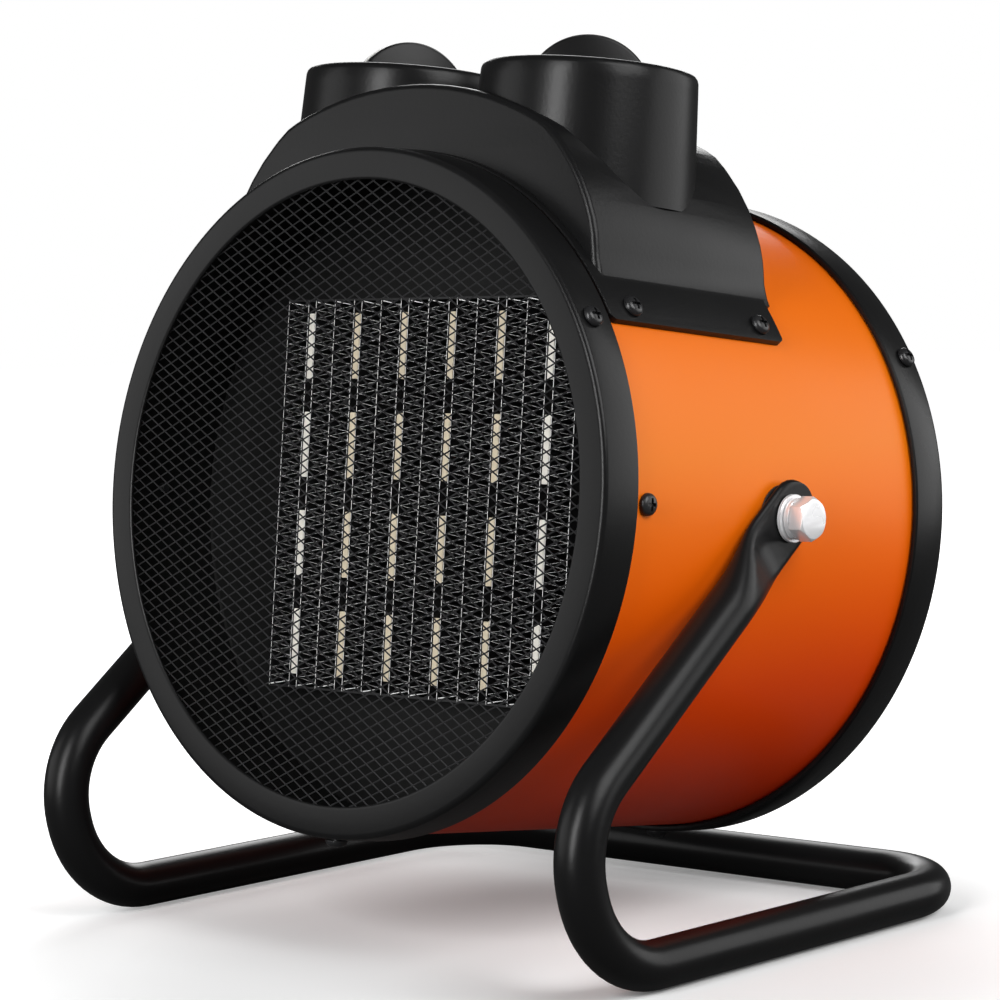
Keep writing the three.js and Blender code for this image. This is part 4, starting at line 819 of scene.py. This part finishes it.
# ---- Pivots: each side an M8 hex bolt through a spring washer, a flat washer, the flattened tube end and a
# spacer into a nut plate inside the drum. Bright zinc-plated steel.
bright_zinc = finish_of("bright_zinc", (0.86, 0.86, 0.87), 0.30, metallic=0.50, fine=1500, mottle=0.05)
nylon = finish_of("nylon", (0.02, 0.02, 0.02), 0.55)
PIVOT = (91, -1.2)
WASHER_X = 118.8
SPRING_X = 120.6
HEAD_X = 122.8
HEAD_TOP_X = HEAD_X + 5.3
HEAD_CORNER_R = 7.5055
for name, side in (("left", -1), ("right", 1)):
    along = (DRUM_PLACE @ Matrix.Translation((0, PIVOT[0] * MM, PIVOT[1] * MM))
             @ Matrix.Rotation(side * -math.pi / 2, 4, "Z"))
    flat = turned(f"pivot_washer_{name}", [
        [4.3, WASHER_X], [7.8, WASHER_X], [8, WASHER_X + 0.2], [8, WASHER_X + 1.3], [7.8, WASHER_X + 1.5],
        [4.3, WASHER_X + 1.5],
    ], sides=64)
    set_down(flat, along, bright_zinc, "heater", "zinc", f"pivot_washer_{name}")
    spring = turned(f"pivot_spring_washer_{name}", [
        [4.3, SPRING_X], [6.75, SPRING_X], [6.9, SPRING_X + 0.15], [6.9, SPRING_X + 1.75],
        [6.75, SPRING_X + 1.9], [4.3, SPRING_X + 1.9],
    ], sides=64)
    split = sheet_box("split", (-1, 9), (SPRING_X - 1, SPRING_X + 3), (-0.5, 0.5), 0)
    alone(split)
    split.matrix_world = Matrix.Rotation(math.radians(115), 4, "Y")
    bpy.ops.object.transform_apply(location=True, rotation=True, scale=True)
    pared(spring, split)
    set_down(spring, along, bright_zinc, "heater", "zinc", f"pivot_spring_washer_{name}")
    bolt = turned(f"pivot_bolt_{name}", [
        [HEAD_CORNER_R, HEAD_X], [HEAD_CORNER_R, HEAD_TOP_X], [0, HEAD_TOP_X],
    ], sides=6, closed=False)
    alone(bolt)
    bpy.ops.object.mode_set(mode="EDIT")
    bpy.ops.mesh.select_mode(type="EDGE")
    bpy.ops.mesh.select_all(action="DESELECT")
    head = bmesh.from_edit_mesh(bolt.data)
    for edge in head.edges:
        edge.select = edge.is_boundary
    bmesh.update_edit_mesh(bolt.data)
    bpy.ops.mesh.fill()
    bpy.ops.mesh.select_all(action="SELECT")
    bpy.ops.mesh.normals_make_consistent(inside=False)
    bpy.ops.object.mode_set(mode="OBJECT")
    chamfer = turned("chamfer", [
        [0, HEAD_X - 1], [9.5, HEAD_X - 1], [9.5, HEAD_X + 3.0], [6.4, HEAD_TOP_X], [0, HEAD_TOP_X],
    ], sides=96, closed=False)
    pared(bolt, chamfer, "INTERSECT")
    shank = turned("shank", [
        [0, 104.2], [3.6, 104.2], [4, 104.6], [4, HEAD_X + 1], [0, HEAD_X + 1],
    ], sides=32, closed=False)
    pared(bolt, shank, "UNION")
    rounded(bolt, 0.15, segments=2, angle=25)
    set_down(bolt, along, bright_zinc, "heater", "zinc", f"pivot_bolt_{name}", smooth=25)
    spacer = turned(f"pivot_spacer_{name}", [
        [4.4, 114.5], [11, 114.5], [11, 115.0], [4.4, 115.0],
    ], sides=64)
    set_down(spacer, along, nylon, "heater", "nylon", f"pivot_spacer_{name}")


# ---- Stand: one 16 mm steel tube, powder coated black, bent round each side and across the back. Its two
# ends are pressed flat and round for the pivot bolts.
TUBE_R = 8
STAND_X = 120
FLAT_TUCK = 3.1
FLAT_WIDE = 22.4
FLAT_THICK = 3.2
FLAT_END = 11.2
FLAT_REACH = 2.5
ROUND_FROM = 46
FLAT_UNTIL = 14
NECK_STEP = 4
END_ANGLES = (0, 15, 30, 43, 55, 65, 74, 81, 86, 89)
TUBE_SIDES = 48
BASE_Z = -146.5
KNEE_Y = -24.9
KNEE_Z = BASE_Z + 49.2
TOE_Y = -14
HEEL_Y = 186.4
BENDS = [32, 35, 33.5, 33.5, 35, 32]
BOLT_HOLE_R = 4.4
STAND_PLACE = Matrix.Translation(DRUM_FRONT)
pivot = Matrix.Rotation(-DRUM_TILT, 4, "X") @ Vector((0, *PIVOT))
knee = Vector((0, KNEE_Y, KNEE_Z))
drop = (knee - pivot).normalized()
start = pivot + drop * ROUND_FROM
side_points = [(start.y, start.z), (KNEE_Y, KNEE_Z), (TOE_Y, BASE_Z), (HEEL_Y, BASE_Z)]
half_path = [Vector((STAND_X, y, z)) for y, z in side_points]
tube_path = half_path + [Vector((-p.x, p.y, p.z)) for p in reversed(half_path)]
lean_back = Vector((0, 0, 1)).rotation_difference(drop).to_matrix().to_4x4()
bpy.ops.object.select_all(action="DESELECT")
bpy.ops.mesh.primitive_circle_add(vertices=TUBE_SIDES, radius=TUBE_R * MM)
tube = bpy.context.object
tube.name = "stand_tube"
tube.matrix_world = Matrix.Translation(half_path[0] * MM) @ lean_back
bpy.ops.object.transform_apply(location=True, rotation=True, scale=True)
bpy.ops.object.mode_set(mode="EDIT")
bpy.ops.mesh.select_mode(type="VERT")
bpy.ops.mesh.select_all(action="SELECT")
here = tube_path[0]
for corner, after, bend in zip(tube_path[1:], tube_path[2:], BENDS):
    before = (corner - here).normalized()
    onward = (after - corner).normalized()
    turn = before.angle(onward)
    axis = before.cross(onward).normalized()
    reach = bend * math.tan(turn / 2)
    bend_start = corner - before * reach
    centre = bend_start + axis.cross(before) * bend
    bpy.ops.mesh.extrude_region_move(TRANSFORM_OT_translate={"value": (bend_start - here) * MM})
    bpy.ops.mesh.spin(steps=max(6, round(math.degrees(turn) / 5)), angle=turn, center=centre * MM, axis=-axis)
    here = corner + onward * reach
bpy.ops.mesh.extrude_region_move(TRANSFORM_OT_translate={"value": (tube_path[-1] - here) * MM})
bpy.ops.object.mode_set(mode="OBJECT")

# Each end is drawn out from the round tube over the neck, along the flat and round its end, ring by ring.
neck_steps = [*range(ROUND_FROM - NECK_STEP, FLAT_UNTIL, -NECK_STEP), FLAT_UNTIL, FLAT_UNTIL / 2, 0]
neck_steps += [-FLAT_REACH - FLAT_END * math.sin(math.radians(a)) for a in END_ANGLES]
ends = []
for side in (1, -1):
    bpy.ops.object.select_all(action="DESELECT")
    bpy.ops.mesh.primitive_circle_add(vertices=TUBE_SIDES, radius=TUBE_R * MM,
                                      location=(FLAT_TUCK * MM, 0, ROUND_FROM * MM))
    end = bpy.context.object
    bpy.ops.object.transform_apply(location=True, rotation=True, scale=True)
    bpy.ops.object.mode_set(mode="EDIT")
    bpy.ops.mesh.select_all(action="SELECT")
    x_was, z_was, full_was, wide_was = FLAT_TUCK, ROUND_FROM, TUBE_R, TUBE_R
    presses = []
    for z in neck_steps:
        share = min(1, max(0, (z - FLAT_UNTIL) / (ROUND_FROM - FLAT_UNTIL)))
        share = share * share * (3 - 2 * share)
        x = FLAT_TUCK * (1 - (1 - share) ** 2)
        thick = FLAT_THICK / 2 + (TUBE_R - FLAT_THICK / 2) * share
        wide = FLAT_WIDE / 2 + (TUBE_R - FLAT_WIDE / 2) * share
        full = thick / math.sqrt(1 - ((wide - thick) / wide) ** 2)
        if z < -FLAT_REACH:
            wide *= math.sqrt(max(0.0002, 1 - ((z + FLAT_REACH) / FLAT_END) ** 2))
        move = ((x - x_was) * MM, 0, (z - z_was) * MM)
        bpy.ops.mesh.extrude_region_move(TRANSFORM_OT_translate={"value": move})
        bpy.ops.transform.resize(value=(full / full_was, wide / wide_was, 1),
                                 center_override=(x * MM, 0, z * MM))
        presses.append((x, z, thick))
        x_was, z_was, full_was, wide_was = x, z, full, wide
    bpy.ops.mesh.edge_face_add()
    for x, z, thick in presses:
        for face_side in (1, -1):
            bpy.ops.mesh.select_all(action="DESELECT")
            ring = bmesh.from_edit_mesh(end.data)
            for vert in ring.verts:
                beyond = face_side * (vert.co.x - x * MM) > thick * MM
                vert.select = abs(vert.co.z - z * MM) < 0.01 * MM and beyond
            bmesh.update_edit_mesh(end.data)
            pressed_face = ((x + face_side * thick) * MM, 0, z * MM)
            bpy.ops.transform.resize(value=(0, 1, 1), center_override=pressed_face)
    bpy.ops.object.mode_set(mode="OBJECT")
    outward = Matrix.Scale(side, 4, (1, 0, 0))
    at_pivot = Matrix.Translation((side * (STAND_X - FLAT_TUCK) * MM, pivot.y * MM, pivot.z * MM))
    end.matrix_world = at_pivot @ lean_back @ outward
    bpy.ops.object.transform_apply(location=True, rotation=True, scale=True)
    ends.append(end)
tube = joined("stand_tube", [tube, *ends])
bpy.ops.object.mode_set(mode="EDIT")
bpy.ops.mesh.select_all(action="SELECT")
bpy.ops.mesh.remove_doubles(threshold=0.02 * MM)
bpy.ops.mesh.normals_make_consistent(inside=False)
bpy.ops.object.mode_set(mode="OBJECT")
bolt_hole = turned("bolt_hole", [
    [0, -130], [BOLT_HOLE_R, -130], [BOLT_HOLE_R, 130], [0, 130],
], sides=32, closed=False)
bolt_hole.matrix_world = Matrix.Translation(pivot * MM) @ Matrix.Rotation(math.pi / 2, 4, "Z")
alone(bolt_hole)
bpy.ops.object.transform_apply(location=True, rotation=True, scale=True)
pared(tube, bolt_hole)
set_down(tube, STAND_PLACE, black_paint, "stand", "black_paint", "stand_tube", smooth=40)


# ---- Inner parts seen through the guard and the net: clamps, cut-out, fan, motor and its bracket, the
# controls' bodies. They are the frame's own shapes with their edges eased.
galvanised = finish_of("galvanised", (0.55, 0.57, 0.58), 0.42, metallic=0.9, fine=500, bump=0.06, mottle=0.25)
plain_steel = finish_of("plain_steel", (0.47, 0.49, 0.51), 0.36, metallic=0.95, mottle=0.12)
fan_metal = finish_of("fan_metal", (0.60, 0.62, 0.64), 0.40, metallic=0.85, fine=800, mottle=0.1)
pale_plastic = finish_of("pale_plastic", (0.68, 0.65, 0.56), 0.5, bump=0.06)
gland_plastic = finish_of("gland_plastic", (0.017, 0.017, 0.017), 0.5, bump=0.06)
INNER = [
    # body, slot, finish, easing of the edges, nodes
    ("heater", "galvanised", galvanised, 0.3, [
        "ptc_clamp_upper", "ptc_clamp_lower", "motor_front_cap", "motor_rear_cap", "motor_bracket",
        "pivot_nut_plate_left", "pivot_nut_plate_right",
    ]),
    ("heater", "pale_plastic", pale_plastic, 0.4, [
        "thermal_cutout", "mode_switch", "thermostat", "terminal_block",
    ]),
    ("heater", "steel", plain_steel, 0.2, ["motor_stator", "motor_bearing_front", "motor_bearing_rear"]),
    ("heater", "zinc", bright_zinc, 0.2, ["mode_nut", "thermostat_nut"]),
    ("heater", "gland_plastic", gland_plastic, 0.3, ["cable_gland"]),
    ("mode_control", "steel", plain_steel, 0.2, ["mode_spindle"]),
    ("thermostat_control", "steel", plain_steel, 0.2, ["thermostat_spindle"]),
    ("fan", "steel", plain_steel, 0.2, ["motor_rotor"]),
    ("fan", "fan_steel", fan_metal, 0.25, ["fan_wheel"]),
]
for body, slot_name, material, ease, names in INNER:
    for name in names:
        eased = copied(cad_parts[name], name + "_eased")
        eased.parent = None
        alone(eased)
        bpy.ops.object.mode_set(mode="EDIT")
        bpy.ops.mesh.select_all(action="SELECT")
        bpy.ops.mesh.remove_doubles(threshold=0.00001)
        bpy.ops.object.mode_set(mode="OBJECT")
        rounded(eased, ease, segments=2, angle=40)
        set_down(eased, AS_DRAWN, material, body, slot_name, name)
